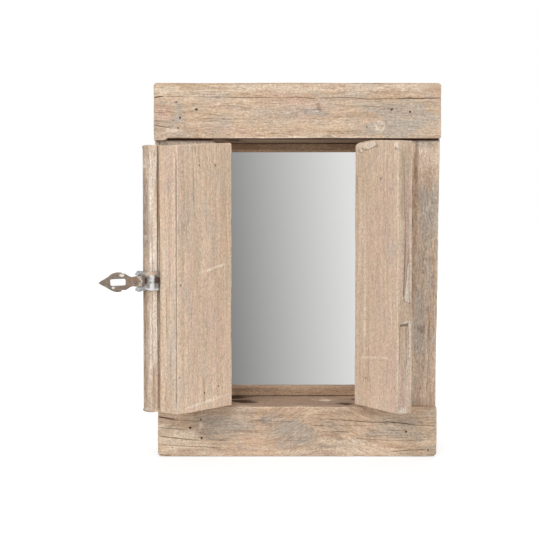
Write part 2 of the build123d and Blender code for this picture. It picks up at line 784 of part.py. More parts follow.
def build_right_shutter():
    """The right plank, rebated where the astragal laps it, and its staple."""
    board = plank(RIGHT)
    free = free_edge(RIGHT)
    board = board - block(free - meeting_rebate_width, free + overrun, -overrun, meeting_rebate_depth,
                          -overrun, top_z)
    board = board - staple(fastener_clearance)
    write("right_shutter", opened(board, RIGHT))
    write("hasp_staple", opened(staple(0), RIGHT))


def main():
    build_frame()
    build_mirror()
    build_hinges()
    build_left_shutter()
    write("hasp_strap", strap())
    build_right_shutter()
    x, y = strap_axis()
    print("hasp axis", round(x, 3), round(y, 3), "pivots", left_pivot_x, right_pivot_x, pivot_y)
    print("height", top_z, "staple from pivot", round(staple_place(), 3))


main()
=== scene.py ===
# %% [markdown]
# # A mirror in an old window frame
# Four heavy beams of old hardwood once framed a small window. Somebody sanded them, set a mirror where
# the view had been, and left the two plank shutters and the iron hasp as they were.
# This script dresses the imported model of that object. It starts with the model itself and its size.

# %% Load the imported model
import itertools
import json
import math

import bpy
import numpy as np
from mathutils import Matrix, Vector

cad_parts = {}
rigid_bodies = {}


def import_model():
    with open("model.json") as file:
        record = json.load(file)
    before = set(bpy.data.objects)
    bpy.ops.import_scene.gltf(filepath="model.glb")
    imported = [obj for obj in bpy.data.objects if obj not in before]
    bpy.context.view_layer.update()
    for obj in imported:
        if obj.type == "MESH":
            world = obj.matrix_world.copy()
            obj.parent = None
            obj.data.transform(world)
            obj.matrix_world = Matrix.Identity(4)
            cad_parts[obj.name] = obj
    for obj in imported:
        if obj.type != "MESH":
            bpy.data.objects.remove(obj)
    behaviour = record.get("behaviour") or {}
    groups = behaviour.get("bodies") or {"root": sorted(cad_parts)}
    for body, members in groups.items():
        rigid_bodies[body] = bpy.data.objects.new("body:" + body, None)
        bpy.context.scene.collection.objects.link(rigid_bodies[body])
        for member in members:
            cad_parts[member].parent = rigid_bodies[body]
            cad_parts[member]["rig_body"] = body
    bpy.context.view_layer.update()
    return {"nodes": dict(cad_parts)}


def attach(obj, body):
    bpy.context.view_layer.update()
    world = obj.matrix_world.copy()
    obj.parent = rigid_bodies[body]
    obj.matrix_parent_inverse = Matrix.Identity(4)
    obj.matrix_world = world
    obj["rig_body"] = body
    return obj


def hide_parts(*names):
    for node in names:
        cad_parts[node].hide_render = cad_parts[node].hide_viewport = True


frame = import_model()
MM = 0.001

# %% [markdown]
# ## Colours and nodes
# Colours are read from the eye's point of view, as sRGB hex values, and shaders need them linear, so one
# function turns them. Another adds a shader node with its settings and its links in one call, which
# keeps each material short enough to read as a recipe.

# %% Colour and node helpers
def linear(colour):
    """The linear value of an sRGB hex colour."""
    parts = [int(colour[start:start + 2], 16) / 255 for start in (1, 3, 5)]
    curve = [part / 12.92 if part <= 0.04045 else ((part + 0.055) / 1.055) ** 2.4 for part in parts]
    return (*curve, 1.0)


def add(tree, kind, inputs=None, **settings):
    """Adds a node with its settings, and sets or links its inputs by name or number."""
    made = tree.nodes.new(kind)
    for name, value in settings.items():
        setattr(made, name, value)
    for name, value in (inputs or {}).items():
        if isinstance(value, bpy.types.NodeSocket):
            tree.links.new(value, made.inputs[name])
        else:
            made.inputs[name].default_value = value
    return made


def new_material(name):
    """An empty node material, with its tree and its output node."""
    material = bpy.data.materials.new(name)
    material.use_nodes = True
    material.node_tree.nodes.clear()
    return material, material.node_tree, add(material.node_tree, "ShaderNodeOutputMaterial")


def put(name, data):
    """A new object with this mesh, lamp or camera in it, linked to the scene."""
    made = bpy.data.objects.new(name, data)
    bpy.context.scene.collection.objects.link(made)
    return made


print("middle grey #808080 is", round(linear("#808080")[0], 3), "when linear")

# %% [markdown]
# ## Noise for the meshes
# Wear on a real beam is never even, so the meshes need a random but repeatable height at every point.
# Value noise does that: each corner of a lattice gets a fixed value from its own whole-number place,
# and points between the corners blend the eight values round them.

# %% Noise for the meshes
HASH = (73856093, 19349663, 83492791, 40503)
STIRS = ((13, 1274126177), (11, 668265263))
LARGEST = 0x7FFFFFFF


def corner_value(cell, seed):
    """A fixed value between -1 and 1 for a corner of the lattice."""
    mixed = cell[:, 0] * HASH[0] ^ cell[:, 1] * HASH[1] ^ cell[:, 2] * HASH[2] ^ seed * HASH[3]
    for shift, factor in STIRS:
        mixed = (mixed ^ (mixed >> shift)) * factor & LARGEST
    return mixed / (LARGEST >> 1) - 1


def noise(points, size, seed):
    """Smooth noise between -1 and 1, its lattice stretched to the given size on each axis."""
    scaled = points / np.array(size, float)
    cell = np.floor(scaled).astype(np.int64)
    part = scaled - cell
    ease = part * part * (3 - 2 * part)
    total = np.zeros(len(points))
    for corner in itertools.product((0, 1), repeat=3):
        weight = np.where(corner, ease, 1 - ease).prod(axis=1)
        total += weight * corner_value(cell + corner, seed)
    return total


def smooth(low, high, values):
    """Goes smoothly from 0 at low to 1 at high."""
    t = np.clip((values - low) / (high - low), 0, 1)
    return t * t * (3 - 2 * t)


print("noise at three points", noise(np.array([[0.2, 0, 0], [9, 5, 1], [40, 3, 2]]), (7, 7, 7), 1).round(2))

# %% [markdown]
# ## A beam as a skin of points
# Each timber is the skin of a box, in millimetres. The rows of points stand closer at the arrises and
# round cracks and nail holes, where the form changes fastest, so that detail is real geometry and the
# wide plain faces stay light. The skin is then rounded at its arrises, worn by noise and marked.
# A plain cube with bump mapping would be quicker, but its outline would stay ruler straight.

# %% Rows of points
X, Y, Z = range(3)
CLOSEST = 0.03
ROW_GAP = 0.14
ARRIS_STEPS = (0, 0.35, 0.8, 1.4, 2.1, 3.0, 4.1, 5.4)


def rows(low, high, spacing, fine, folds=()):
    """The places of the rows of points along one axis. fine holds (centre, reach, step) of closer rows."""
    places = list(np.linspace(low, high, max(2, round((high - low) / spacing) + 1)))
    for step in ARRIS_STEPS:
        if step < (high - low) / 2:
            places += [low + step, high - step]
    for centre, reach, step in fine:
        places += list(np.arange(centre - reach, centre + reach + step / 2, step))
    fixed = [low, high]
    for fold in folds:
        if low + CLOSEST < fold < high - CLOSEST:
            fixed += [fold - CLOSEST / 2, fold + CLOSEST / 2]
    kept = []
    for place in sorted(place for place in places if low < place < high):
        if min(abs(place - other) for other in fixed + kept[-1:]) >= ROW_GAP:
            kept.append(place)
    return np.array(sorted(fixed + kept))


print("rows on 10 mm:", rows(0, 10, 2, []).round(2))

# %% The skin of a box
def joined(*corners):
    """Four-sided faces, from four sheets of point numbers, one sheet for each corner."""
    return np.stack(corners, -1).reshape(-1, 4)


def box_skin(xs, ys, zs):
    """Points on the skin of a box, its four-sided faces, and the side that each face lies on."""
    shape = (len(xs), len(ys), len(zs))
    skin = np.zeros(shape, bool)
    skin[[0, -1]] = skin[:, [0, -1]] = skin[:, :, [0, -1]] = True
    number = np.full(shape, -1)
    number[skin] = np.arange(skin.sum())
    places = np.argwhere(skin)
    points = np.column_stack([xs[places[:, 0]], ys[places[:, 1]], zs[places[:, 2]]])
    quads, sides = [], []
    for axis in (X, Y, Z):
        for end in (0, -1):
            sheet = np.take(number, end, axis=axis)
            quad = joined(sheet[:-1, :-1], sheet[1:, :-1], sheet[1:, 1:], sheet[:-1, 1:])
            if (end == 0) == (axis != Y):
                quad = quad[:, ::-1]
            quads.append(quad)
            sides.append(np.full(len(quad), axis * 2 + (end == -1)))
    return points, np.concatenate(quads), np.concatenate(sides)


print("a small box has", len(box_skin(*[rows(0, 10, 2, [])] * 3)[0]), "points")

# %% From points to a mesh
SHARP_ANGLE = math.radians(55)
MAP_MARGIN = 3.0


def build_mesh(name, points, quads, marks):
    """A mesh from points in millimetres, smooth but for its sharp folds, with its marks."""
    mesh = bpy.data.meshes.new(name)
    mesh.vertices.add(len(points))
    mesh.vertices.foreach_set("co", (points * MM).ravel())
    mesh.loops.add(quads.size)
    mesh.loops.foreach_set("vertex_index", quads.ravel())
    mesh.polygons.add(len(quads))
    mesh.polygons.foreach_set("loop_start", np.arange(0, quads.size, 4))
    mesh.update(calc_edges=True)
    mesh.polygons.foreach_set("use_smooth", np.ones(len(quads), bool))
    mesh.set_sharp_from_angle(angle=SHARP_ANGLE)
    colour = mesh.attributes.new("marks", "FLOAT_COLOR", "POINT")
    colour.data.foreach_set("color", marks.astype(np.float32).ravel())
    return mesh


def box_map(mesh, rest, quads, sides):
    """Lays the six sides of a box out flat beside each other, as the map that a bake goes through."""
    span = np.ptp(rest, axis=0)
    places, column = {}, 0.0
    for side in range(6):
        across, up = [axis for axis in (X, Y, Z) if axis != side // 2]
        if span[across] > span[up]:
            across, up = up, across
        places[side] = (across, up, column)
        column += span[across] + MAP_MARGIN
    size = max(column, span.max())
    corners = np.empty((quads.size, 2))
    loop_side = np.repeat(sides, 4)
    flat = rest[quads.ravel()] - rest.min(axis=0)
    for side, (across, up, start) in places.items():
        on = loop_side == side
        corners[on, 0] = (flat[on, across] + start) / size
        corners[on, 1] = flat[on, up] / size
    layer = mesh.uv_layers.new(name="OFBake")
    layer.data.foreach_set("uv", corners.astype(np.float32).ravel())


print("folds sharper than", round(math.degrees(SHARP_ANGLE)), "degrees stay crisp")

# %% [markdown]
# ## Marks of age
# A mark belongs to one face of a timber: an old nail hole, a drying crack along the grain, a chip, or a
# patch where limewash stayed in the pores. Each is a small function that says, for every point of its
# face, how deep the wood is gone there and how dark, pale or grey it is. Some dark marks are painted
# shade, and some pale ones are painted light. It also says where the skin needs closer rows. Painting
# them on an image would be the usual way, but an image can't change the outline, and the light would not
# catch the rim of a chip.

# %% What a mark is
LEFT_END, RIGHT_END, FRONT, BACK, UNDER, TOP = range(6)
# Tones of a mark: the dark one is dirt and also painted shade, the pale one is wear and also painted light
DIRT_AND_SHADE, PALE, GREY, WARM = range(4)


def mark(face, fine, shape):
    """A mark on a face, with the closer rows that it needs as (axis, centre, reach, step)."""
    return {"face": face, "fine": fine, "shape": shape}


def face_axes(face):
    """The two axes that lie in a face."""
    return [axis for axis in (X, Y, Z) if axis != face // 2]


def face_points(u, v):
    """Places on a face as points that noise can read."""
    return np.column_stack([u, v, v * 0])


def untouched(u, v, seed):
    """A mark without depth or tone, for places that only need closer rows."""
    return u * 0, {}


print("the front lies along axes", face_axes(FRONT), "and the top along", face_axes(TOP))

# %% Nail holes
def hole(face, across, up, radius, depth=2.5, darkness=1.0, rise=0.0):
    """An old nail hole, dark inside from dirt and from painted shade of its depth. With rise, the wood round it has
    worn less than elsewhere.
    """
    def shape(u, v, seed):
        far = np.hypot(u - across, v - up) / radius
        inside = 1 - smooth(0.8, 1.15, far)
        rim = rise * smooth(1.1, 1.25, far) * (1 - smooth(2.0, 3.0, far))
        return depth * inside - rim, {DIRT_AND_SHADE: darkness * (1 - smooth(0.8, 1.3, far))}
    step = radius / 2.5
    first, second = face_axes(face)
    reach = radius * 1.5
    return mark(face, [(first, across, reach, step), (second, up, reach, step)], shape)


print("a nail hole is", hole(FRONT, 0, 0, 1)["shape"](np.zeros(1), np.zeros(1), 1)[0], "mm deep at its middle")

# %% Drying cracks
LONG_BEND, SHORT_BEND, BREAKS = 19, 5, 23


def crack(face, along, start, end, width, depth, wave=0.8, darkness=0.9, pale=0.0, gaps=0.35, step=0.3):
    """A drying crack between two points of a face, along one axis of it. Low gaps break it up more."""
    first, second = face_axes(face)
    turned = along == second
    (a0, b0), (a1, b1) = [(p[1], p[0]) if turned else p for p in (start, end)]
    over = first if turned else second

    def shape(u, v, seed):
        a, b = (v, u) if turned else (u, v)
        share = (a - a0) / (a1 - a0)
        line = np.column_stack([a, a * 0, a * 0])
        bends = noise(line, (LONG_BEND, 1, 1), seed) + 0.25 * noise(line, (SHORT_BEND, 1, 1), seed)
        path = b0 + (b1 - b0) * np.clip(share, 0, 1) + wave * bends
        ends = smooth(0, 0.06, share) * (1 - smooth(0.94, 1, share))
        open_here = smooth(-gaps - 0.3, -gaps + 0.3, noise(line, (BREAKS, 1, 1), seed + 5) + 0.35)
        far = np.abs(b - path) / (width / 2)
        groove = (1 - smooth(0.3, 1.25, far)) * ends * open_here
        lip = (1 - smooth(1.0, 3.5, far)) * ends * open_here
        # The groove is darkened by dirt in it and by painted shade of its depth
        return depth * groove + 0.12 * depth * lip, {DIRT_AND_SHADE: darkness * groove, PALE: pale * lip * (1 - groove)}
    middle = (b0 + b1) / 2
    reach = abs(b1 - b0) / 2 + wave * 1.3 + width
    return mark(face, [(over, middle, reach, max(step, width / 3))], shape)


print("a crack bends every", LONG_BEND, "and every", SHORT_BEND, "mm")

# %% Patches and chips
def patch(face, across, up, half_across, half_up, kind, strength, rough=0.6):
    """A patch of another tone, its edge broken up along the grain."""
    def shape(u, v, seed):
        place = face_points(u, v)
        far = np.hypot((u - across) / half_across, (v - up) / half_up)
        broad = (min(30, max(3, 0.7 * half_across)), min(30, max(3, 0.7 * half_up)), 1)
        narrow = (min(9, max(2, 0.25 * half_across)), min(9, max(2, 0.25 * half_up)), 1)
        far = far + rough * noise(place, broad, seed) + 0.5 * rough * noise(place, narrow, seed + 3)
        return np.zeros(len(u)), {kind: strength * (1 - smooth(0.35, 1.15, far))}
    return mark(face, [], shape)


def chip(face, across, up, half_across, half_up, depth, pale=0.5, darkness=0.0, step=0.6):
    """A flake broken out of the surface, with a crisp uneven rim. The lower side of the rim is darkened as painted
    shadow under the raised flake.
    """
    def shape(u, v, seed):
        place = face_points(u, v)
        far = np.hypot((u - across) / half_across, (v - up) / half_up)
        far = far + 0.35 * noise(place, (half_across * 0.7, half_up * 0.7, 1), seed)
        inside = 1 - smooth(0.72, 0.98, far)
        floor = 0.75 + 0.25 * noise(place, (2.5, 2.5, 1), seed + 2)
        rim = smooth(0.6, 0.8, far) * (1 - smooth(0.85, 1.05, far))
        painted_shadow_below = smooth(-0.3, 0.6, (up - v) / half_up)
        return depth * inside * floor, {PALE: pale * inside, DIRT_AND_SHADE: darkness * inside + 0.6 * rim * painted_shadow_below}
    first, second = face_axes(face)
    return mark(face, [(first, across, half_across * 1.2, step), (second, up, half_up * 1.2, step)], shape)


flake = chip(FRONT, 0, 0, 5, 5, 1.0)["shape"](np.zeros(1), np.zeros(1), 1)[0]
print("a chip of 1 mm is", flake.round(2), "mm deep at its middle")

# %% Torn strips and knots
def shard(face, corners, depth, kind, strength, rim=0.0):
    """A torn strip with nearly straight sides. Its corners run anticlockwise, and rim darkens its edge."""
    def shape(u, v, seed):
        within = np.full(len(u), 99.0)
        for (u0, v0), (u1, v1) in zip(corners, corners[1:] + corners[:1]):
            off = ((u1 - u0) * (v - v0) - (v1 - v0) * (u - u0)) / math.dist((u0, v0), (u1, v1))
            within = np.minimum(within, off)
        within = within + 0.35 * noise(face_points(u, v), (2, 6, 1), seed)
        cover = smooth(-0.25, 0.3, within)
        edge = rim * smooth(-1.3, -0.5, within) * (1 - cover)
        tones = {kind: strength * cover}
        tones[DIRT_AND_SHADE] = np.maximum(tones.get(DIRT_AND_SHADE, 0 * u), edge)
        return depth * cover, tones
    first, second = face_axes(face)
    across, up = [corner[0] for corner in corners], [corner[1] for corner in corners]
    middle, reach = (min(across) + max(across)) / 2, (max(across) - min(across)) / 2 + 0.6
    return mark(face, [(first, middle, reach, 0.7), (second, min(up), 1.0, 0.5), (second, max(up), 1.0, 0.5)],
                shape)


def ring_knot(face, across, up, radius):
    """A small knot: a pale raised ring, speckled inside."""
    def shape(u, v, seed):
        place = face_points(u, v)
        far = np.hypot(u - across, v - up) / radius + 0.2 * noise(place, (3, 3, 1), seed)
        ring = smooth(0.62, 0.8, far) * (1 - smooth(0.95, 1.15, far))
        inside = 1 - smooth(0.6, 0.8, far)
        specks = smooth(0.2, 0.6, noise(place, (1.3, 1.3, 1), seed + 1))
        return 0.2 * inside, {PALE: 0.7 * ring + 0.5 * inside, DIRT_AND_SHADE: 0.3 * specks * inside}
    first, second = face_axes(face)
    return mark(face, [(first, across, radius * 1.2, 0.7), (second, up, radius * 1.2, 0.7)], shape)


print("mark kinds: hole, crack, patch, chip, shard, ring knot")

# %% Marks where none is known
END_ROOM, EDGE_ROOM = 8, 6


def random_marks(face, low, high, grain, count, seed):
    """Cracks and nail holes on a face that needs no particular ones."""
    chance = np.random.default_rng(seed)
    first, second = face_axes(face)
    other = second if grain == first else first
    made = []
    for _ in range(count):
        length = chance.uniform(0.15, 0.5) * (high[grain] - low[grain])
        start = chance.uniform(low[grain], high[grain] - length)
        level = chance.uniform(low[other] + EDGE_ROOM, high[other] - EDGE_ROOM)
        slant = chance.uniform(-2, 2)
        ends = [(start, level), (start + length, level + slant)]
        if grain == second:
            ends = [(b, a) for a, b in ends]
        width, depth = chance.uniform(0.5, 1.0), chance.uniform(0.5, 1.4)
        made.append(crack(face, grain, *ends, width, depth, 0.9, 0.7, step=0.5))
    for _ in range(max(1, count // 2)):
        spot = [chance.uniform(low[axis] + END_ROOM, high[axis] - END_ROOM) for axis in (first, second)]
        made.append(hole(face, *spot, chance.uniform(0.7, 1.2)))
    return made


print("three random cracks come with", len(random_marks(BACK, (0, 0, 0), (99, 9, 50), X, 3, 1)) - 3, "nail hole")

# %% [markdown]
# ## From skin to timber
# The order matters. The arrises are rounded first, more where wear has been heavier. Raised grain and
# broad hollows come next, always inwards, because a sanded beam only loses wood. Then the marks are cut.
# Last come the straight cuts of the joiner, such as the rebate for the board behind the glass.
# Sculpting would do all this by hand, but a script gives the same beam again after any change of size.

# %% Round the arrises
LOW_END, HIGH_END = 0, 1


def round_arrises(rest, low, high, radii, wear, seed, corners):
    """Rounds the arrises of a skin, and gives the way out at every point.

    corners holds (axis, end, axis, end, radius) for the arrises that have a radius of their own.
    """
    loose = noise(rest, (31, 31, 31), seed) + 0.6 * noise(rest, (9, 9, 9), seed + 1)
    nicks = smooth(0.55, 0.95, noise(rest, (13, 13, 13), seed + 2))
    radius = np.outer(1 + wear * (0.35 * loose + 0.9 * nicks), np.array(radii, float))
    radius = np.clip(radius, 0.3, (high - low) / 2 - 0.01)
    for axis_a, end_a, axis_b, end_b, size in corners:
        near = np.ones(len(rest))
        for axis, end in ((axis_a, end_a), (axis_b, end_b)):
            off = np.abs(rest[:, axis] - (high if end else low)[axis])
            near *= 1 - smooth(size * 1.05, size * 1.6, off)
        for axis in (axis_a, axis_b):
            radius[:, axis] += (size - radius[:, axis]) * near
    core = np.clip(rest, low + radius, high - radius)
    out = (rest - core) / radius
    out = out / np.linalg.norm(out, axis=1)[:, None]
    return core + radius * out, out


sample = box_skin(*[rows(0, 10, 2, [])] * 3)[0]
worn = round_arrises(sample, np.zeros(3), np.full(3, 10.0), (1, 1, 1), 1.0, 1, ())[0]
print("a worn corner lies", round(float(np.linalg.norm(worn[0])), 2), "mm inside the sharp one")

# %% Raise the grain
GRAIN_STRETCH = 60.0
GRAIN_DEPTH, HOLLOW_DEPTH, CHECK_DEPTH = 0.10, 0.22, 0.45
CHECK_DIRT, ARRIS_PALE = 0.35, 0.25


def raise_grain(rest, out, grain, wear, seed):
    """How deep plain wear goes at every point, and the tones that it leaves."""
    stretch = np.array([GRAIN_STRETCH if axis == grain else 1.0 for axis in (X, Y, Z)])
    grain_1 = noise(rest, stretch * 2.4 + 0.01, seed + 3)
    grain_2 = noise(rest, stretch * 0.8 + 4.4, seed + 4)
    broad = noise(rest, stretch * 0.9 + 24, seed + 5)
    ridge = np.abs(noise(rest, stretch * 0.9 + 1.8, seed + 6))
    checks = (1 - smooth(0.0, 0.10, ridge)) * smooth(0.15, 0.6, noise(rest, stretch * 0.6 + 14, seed + 7))
    depth = wear * (GRAIN_DEPTH * (grain_1 + 1) + GRAIN_DEPTH * (grain_2 + 1) + HOLLOW_DEPTH * (broad + 1)
                    + CHECK_DEPTH * checks)
    tone = np.zeros((len(rest), 4))
    tone[:, DIRT_AND_SHADE] = CHECK_DIRT * checks * wear
    tone[:, PALE] = ARRIS_PALE * (1 - smooth(0.55, 0.9, np.abs(out).max(axis=1)))
    return depth, tone


deepest = 2 * (2 * GRAIN_DEPTH + HOLLOW_DEPTH) + CHECK_DEPTH
print("plain wear goes up to", round(deepest, 2), "mm deep")

# %% Cut the marks and the joints
def cut_marks(points, tone, rest, low, high, marks, seed):
    """Cuts each mark into its face, and lays down its tones."""
    for order, one in enumerate(marks):
        axis, end = one["face"] // 2, one["face"] % 2
        on = np.abs(rest[:, axis] - (high if end else low)[axis]) < CLOSEST / 2
        first, second = face_axes(one["face"])
        gone, tones = one["shape"](rest[on, first], rest[on, second], seed * 31 + order * 7)
        points[on, axis] += gone * (-1 if end else 1)
        for kind, value in tones.items():
            tone[on, kind] = np.maximum(tone[on, kind], value)


def pocket(axis, sign, limit, bounds):
    """A straight cut: inside the bounds of the other axes, no wood reaches past the limit."""
    return {"axis": axis, "sign": sign, "limit": limit, "bounds": bounds}


def round_pocket(axis, sign, other, centre, radius, bounds):
    """A groove that is part of a cylinder, its centre given along the two axes across it."""
    return {"axis": axis, "sign": sign, "round": (other, centre, radius), "bounds": bounds}


def cut_pockets(points, rest, pockets):
    """Cuts each pocket out of the skin."""
    for one in pockets:
        inside = np.ones(len(rest), bool)
        for axis, (start, end) in one["bounds"].items():
            inside &= (rest[:, axis] > start) & (rest[:, axis] < end)
        axis, sign = one["axis"], one["sign"]
        if "round" in one:
            other, centre, reach = one["round"]
            far = np.clip(np.abs(points[:, other] - centre[1]), 0, reach)
            limit = centre[0] - sign * np.sqrt(reach * reach - far * far)
        else:
            limit = np.full(len(rest), float(one["limit"]))
        over = inside & (sign * (points[:, axis] - limit) > 0)
        points[over, axis] = limit[over]


print("a pocket is told by its", *pocket(Y, 1, 0, {}))

# %% A worn timber
def worn_timber(name, low, high, grain, radii, spacing, marks=(), pockets=(), seed=1, wear=1.0, warp=None,
                corners=()):
    """A worn beam between two corners, in millimetres. Its grain runs along one axis.

    radii are the mean roundings along the three axes, and spacing is the gap between rows on a plain
    face. warp is a last change to all points, such as a taper or a bend.
    """
    low, high = np.array(low, float), np.array(high, float)
    fine, folds = ([], [], []), ([], [], [])
    for one in marks:
        for axis, *closer in one["fine"]:
            fine[axis].append(closer)
    for one in pockets:
        for axis, ends in one["bounds"].items():
            folds[axis].extend(ends)
    steps = [spacing * (2.0 if axis == grain else 1.0) for axis in (X, Y, Z)]
    rest, quads, sides = box_skin(*[rows(*line) for line in zip(low, high, steps, fine, folds)])
    points, out = round_arrises(rest, low, high, radii, wear, seed, corners)
    depth, tone = raise_grain(rest, out, grain, wear, seed)
    points = points - out * depth[:, None]
    cut_marks(points, tone, rest, low, high, marks, seed)
    points = np.clip(points, low, high)
    cut_pockets(points, rest, pockets)
    if warp:
        points = warp(points)
    mesh = build_mesh(name, points, quads, tone)
    box_map(mesh, rest, quads, sides)
    print(name, len(points), "points")
    return put(name, mesh)


# %% [markdown]
# ## Old hardwood, bleached and sanded
# The beams are dense reclaimed hardwood, most likely sheesham or mango. Bleach took the colour out,
# sanding cut the high spots bright, and the hollows kept grey limewash and dirt. The eye gets a pale
# tan with fine darker fibres, short open pores, and cloudy grey and pink patches, all quite dull.
# The pattern is a solid one, made in the timber's own space, so it runs on over an arris and shows
# fibre ends on the end faces, as real wood does. A flat image could not do that.
# Fibres and pores of this wood are 0.1 to 0.3 mm wide, too fine for the render, so they are drawn four
# to five times coarser than life. Bands, clouds and the bend of the grain have their real size.

# %% Layers of the timber pattern
# Length along the grain and width across it, in millimetres, then detail, roughness and distortion
GRAIN_LAYERS = {
    "bands": (150.0, 4.5, 3.0, 0.55, 0.4), "fibres": (15.0, 0.9, 4.0, 0.62, 0.0),
    "flecks": (7.0, 1.5, 3.0, 0.6, 0.3), "strokes": (10.0, 1.2, 2.0, 0.5, 0.3),
    "stipple": (2.4, 1.4, 2.0, 0.55, 0.0), "clouds": (40.0, 15.0, 5.0, 0.62, 0.0),
    "warm clouds": (68.0, 19.5, 4.0, 0.6, 0.6)}
BEND_SIZE, BEND_REACH = 70.0, 3.0


def swirled(tree, place, centre, half, height):
    """Lifts the pattern in a bell curve at one place along X, as grain runs round a hidden knot."""
    parts = add(tree, "ShaderNodeSeparateXYZ", {0: place}).outputs
    off = add(tree, "ShaderNodeMath", {0: parts[0], 1: centre * MM}, operation="SUBTRACT").outputs[0]
    off = add(tree, "ShaderNodeMath", {0: off, 1: 1 / (half * MM)}, operation="MULTIPLY").outputs[0]
    off = add(tree, "ShaderNodeMath", {0: off, 1: off}, operation="MULTIPLY").outputs[0]
    off = add(tree, "ShaderNodeMath", {0: off, 1: -1.0}, operation="MULTIPLY").outputs[0]
    bell = add(tree, "ShaderNodeMath", {0: math.e, 1: off}, operation="POWER").outputs[0]
    arched = add(tree, "ShaderNodeMath", {0: bell, 1: -height * MM, 2: parts[2]}, operation="MULTIPLY_ADD")
    return add(tree, "ShaderNodeCombineXYZ", {0: parts[0], 1: parts[1], 2: arched.outputs[0]}).outputs[0]


def grain_layers(tree, grain, offset, swirl):
    """The noise layers of the pattern, all drawn out along the grain and gently bent together."""
    place = add(tree, "ShaderNodeTexCoord").outputs["Object"]
    if swirl:
        place = swirled(tree, place, *swirl)
    place = add(tree, "ShaderNodeVectorMath", {0: place, 1: (offset, offset, offset)}, operation="ADD").outputs[0]
    bend = add(tree, "ShaderNodeTexNoise", {"Vector": place, "Scale": 1 / (BEND_SIZE * MM), "Detail": 1.0})
    off = add(tree, "ShaderNodeVectorMath", {0: bend.outputs["Color"], 1: (0.5, 0.5, 0.5)}, operation="SUBTRACT")
    reach = [0.0 if axis == grain else 2 * BEND_REACH * MM for axis in (X, Y, Z)]
    place = add(tree, "ShaderNodeVectorMath", {0: off.outputs[0], 1: reach, 2: place},
                operation="MULTIPLY_ADD").outputs[0]
    layers = {}
    for title, (length, width, detail, roughness, distortion) in GRAIN_LAYERS.items():
        scale = [1 / ((length if axis == grain else width) * MM) for axis in (X, Y, Z)]
        mapped = add(tree, "ShaderNodeMapping", {"Vector": place, "Scale": scale}, vector_type="POINT")
        layers[title] = add(tree, "ShaderNodeTexNoise", {
            "Vector": mapped.outputs[0], "Scale": 1.0, "Detail": detail, "Roughness": roughness,
            "Distortion": distortion}).outputs["Fac"]
    return layers


print("layers of the pattern:", *GRAIN_LAYERS)

# %% The timber material
# The brown that the dark tone mixes in, for dirt and for painted shade, and how much of the coats it may cover
DIRT_AND_SHADE_BROWN, DIRT_AND_SHADE_COVER, WARM_COVER = "#442c1a", 0.92, 0.9


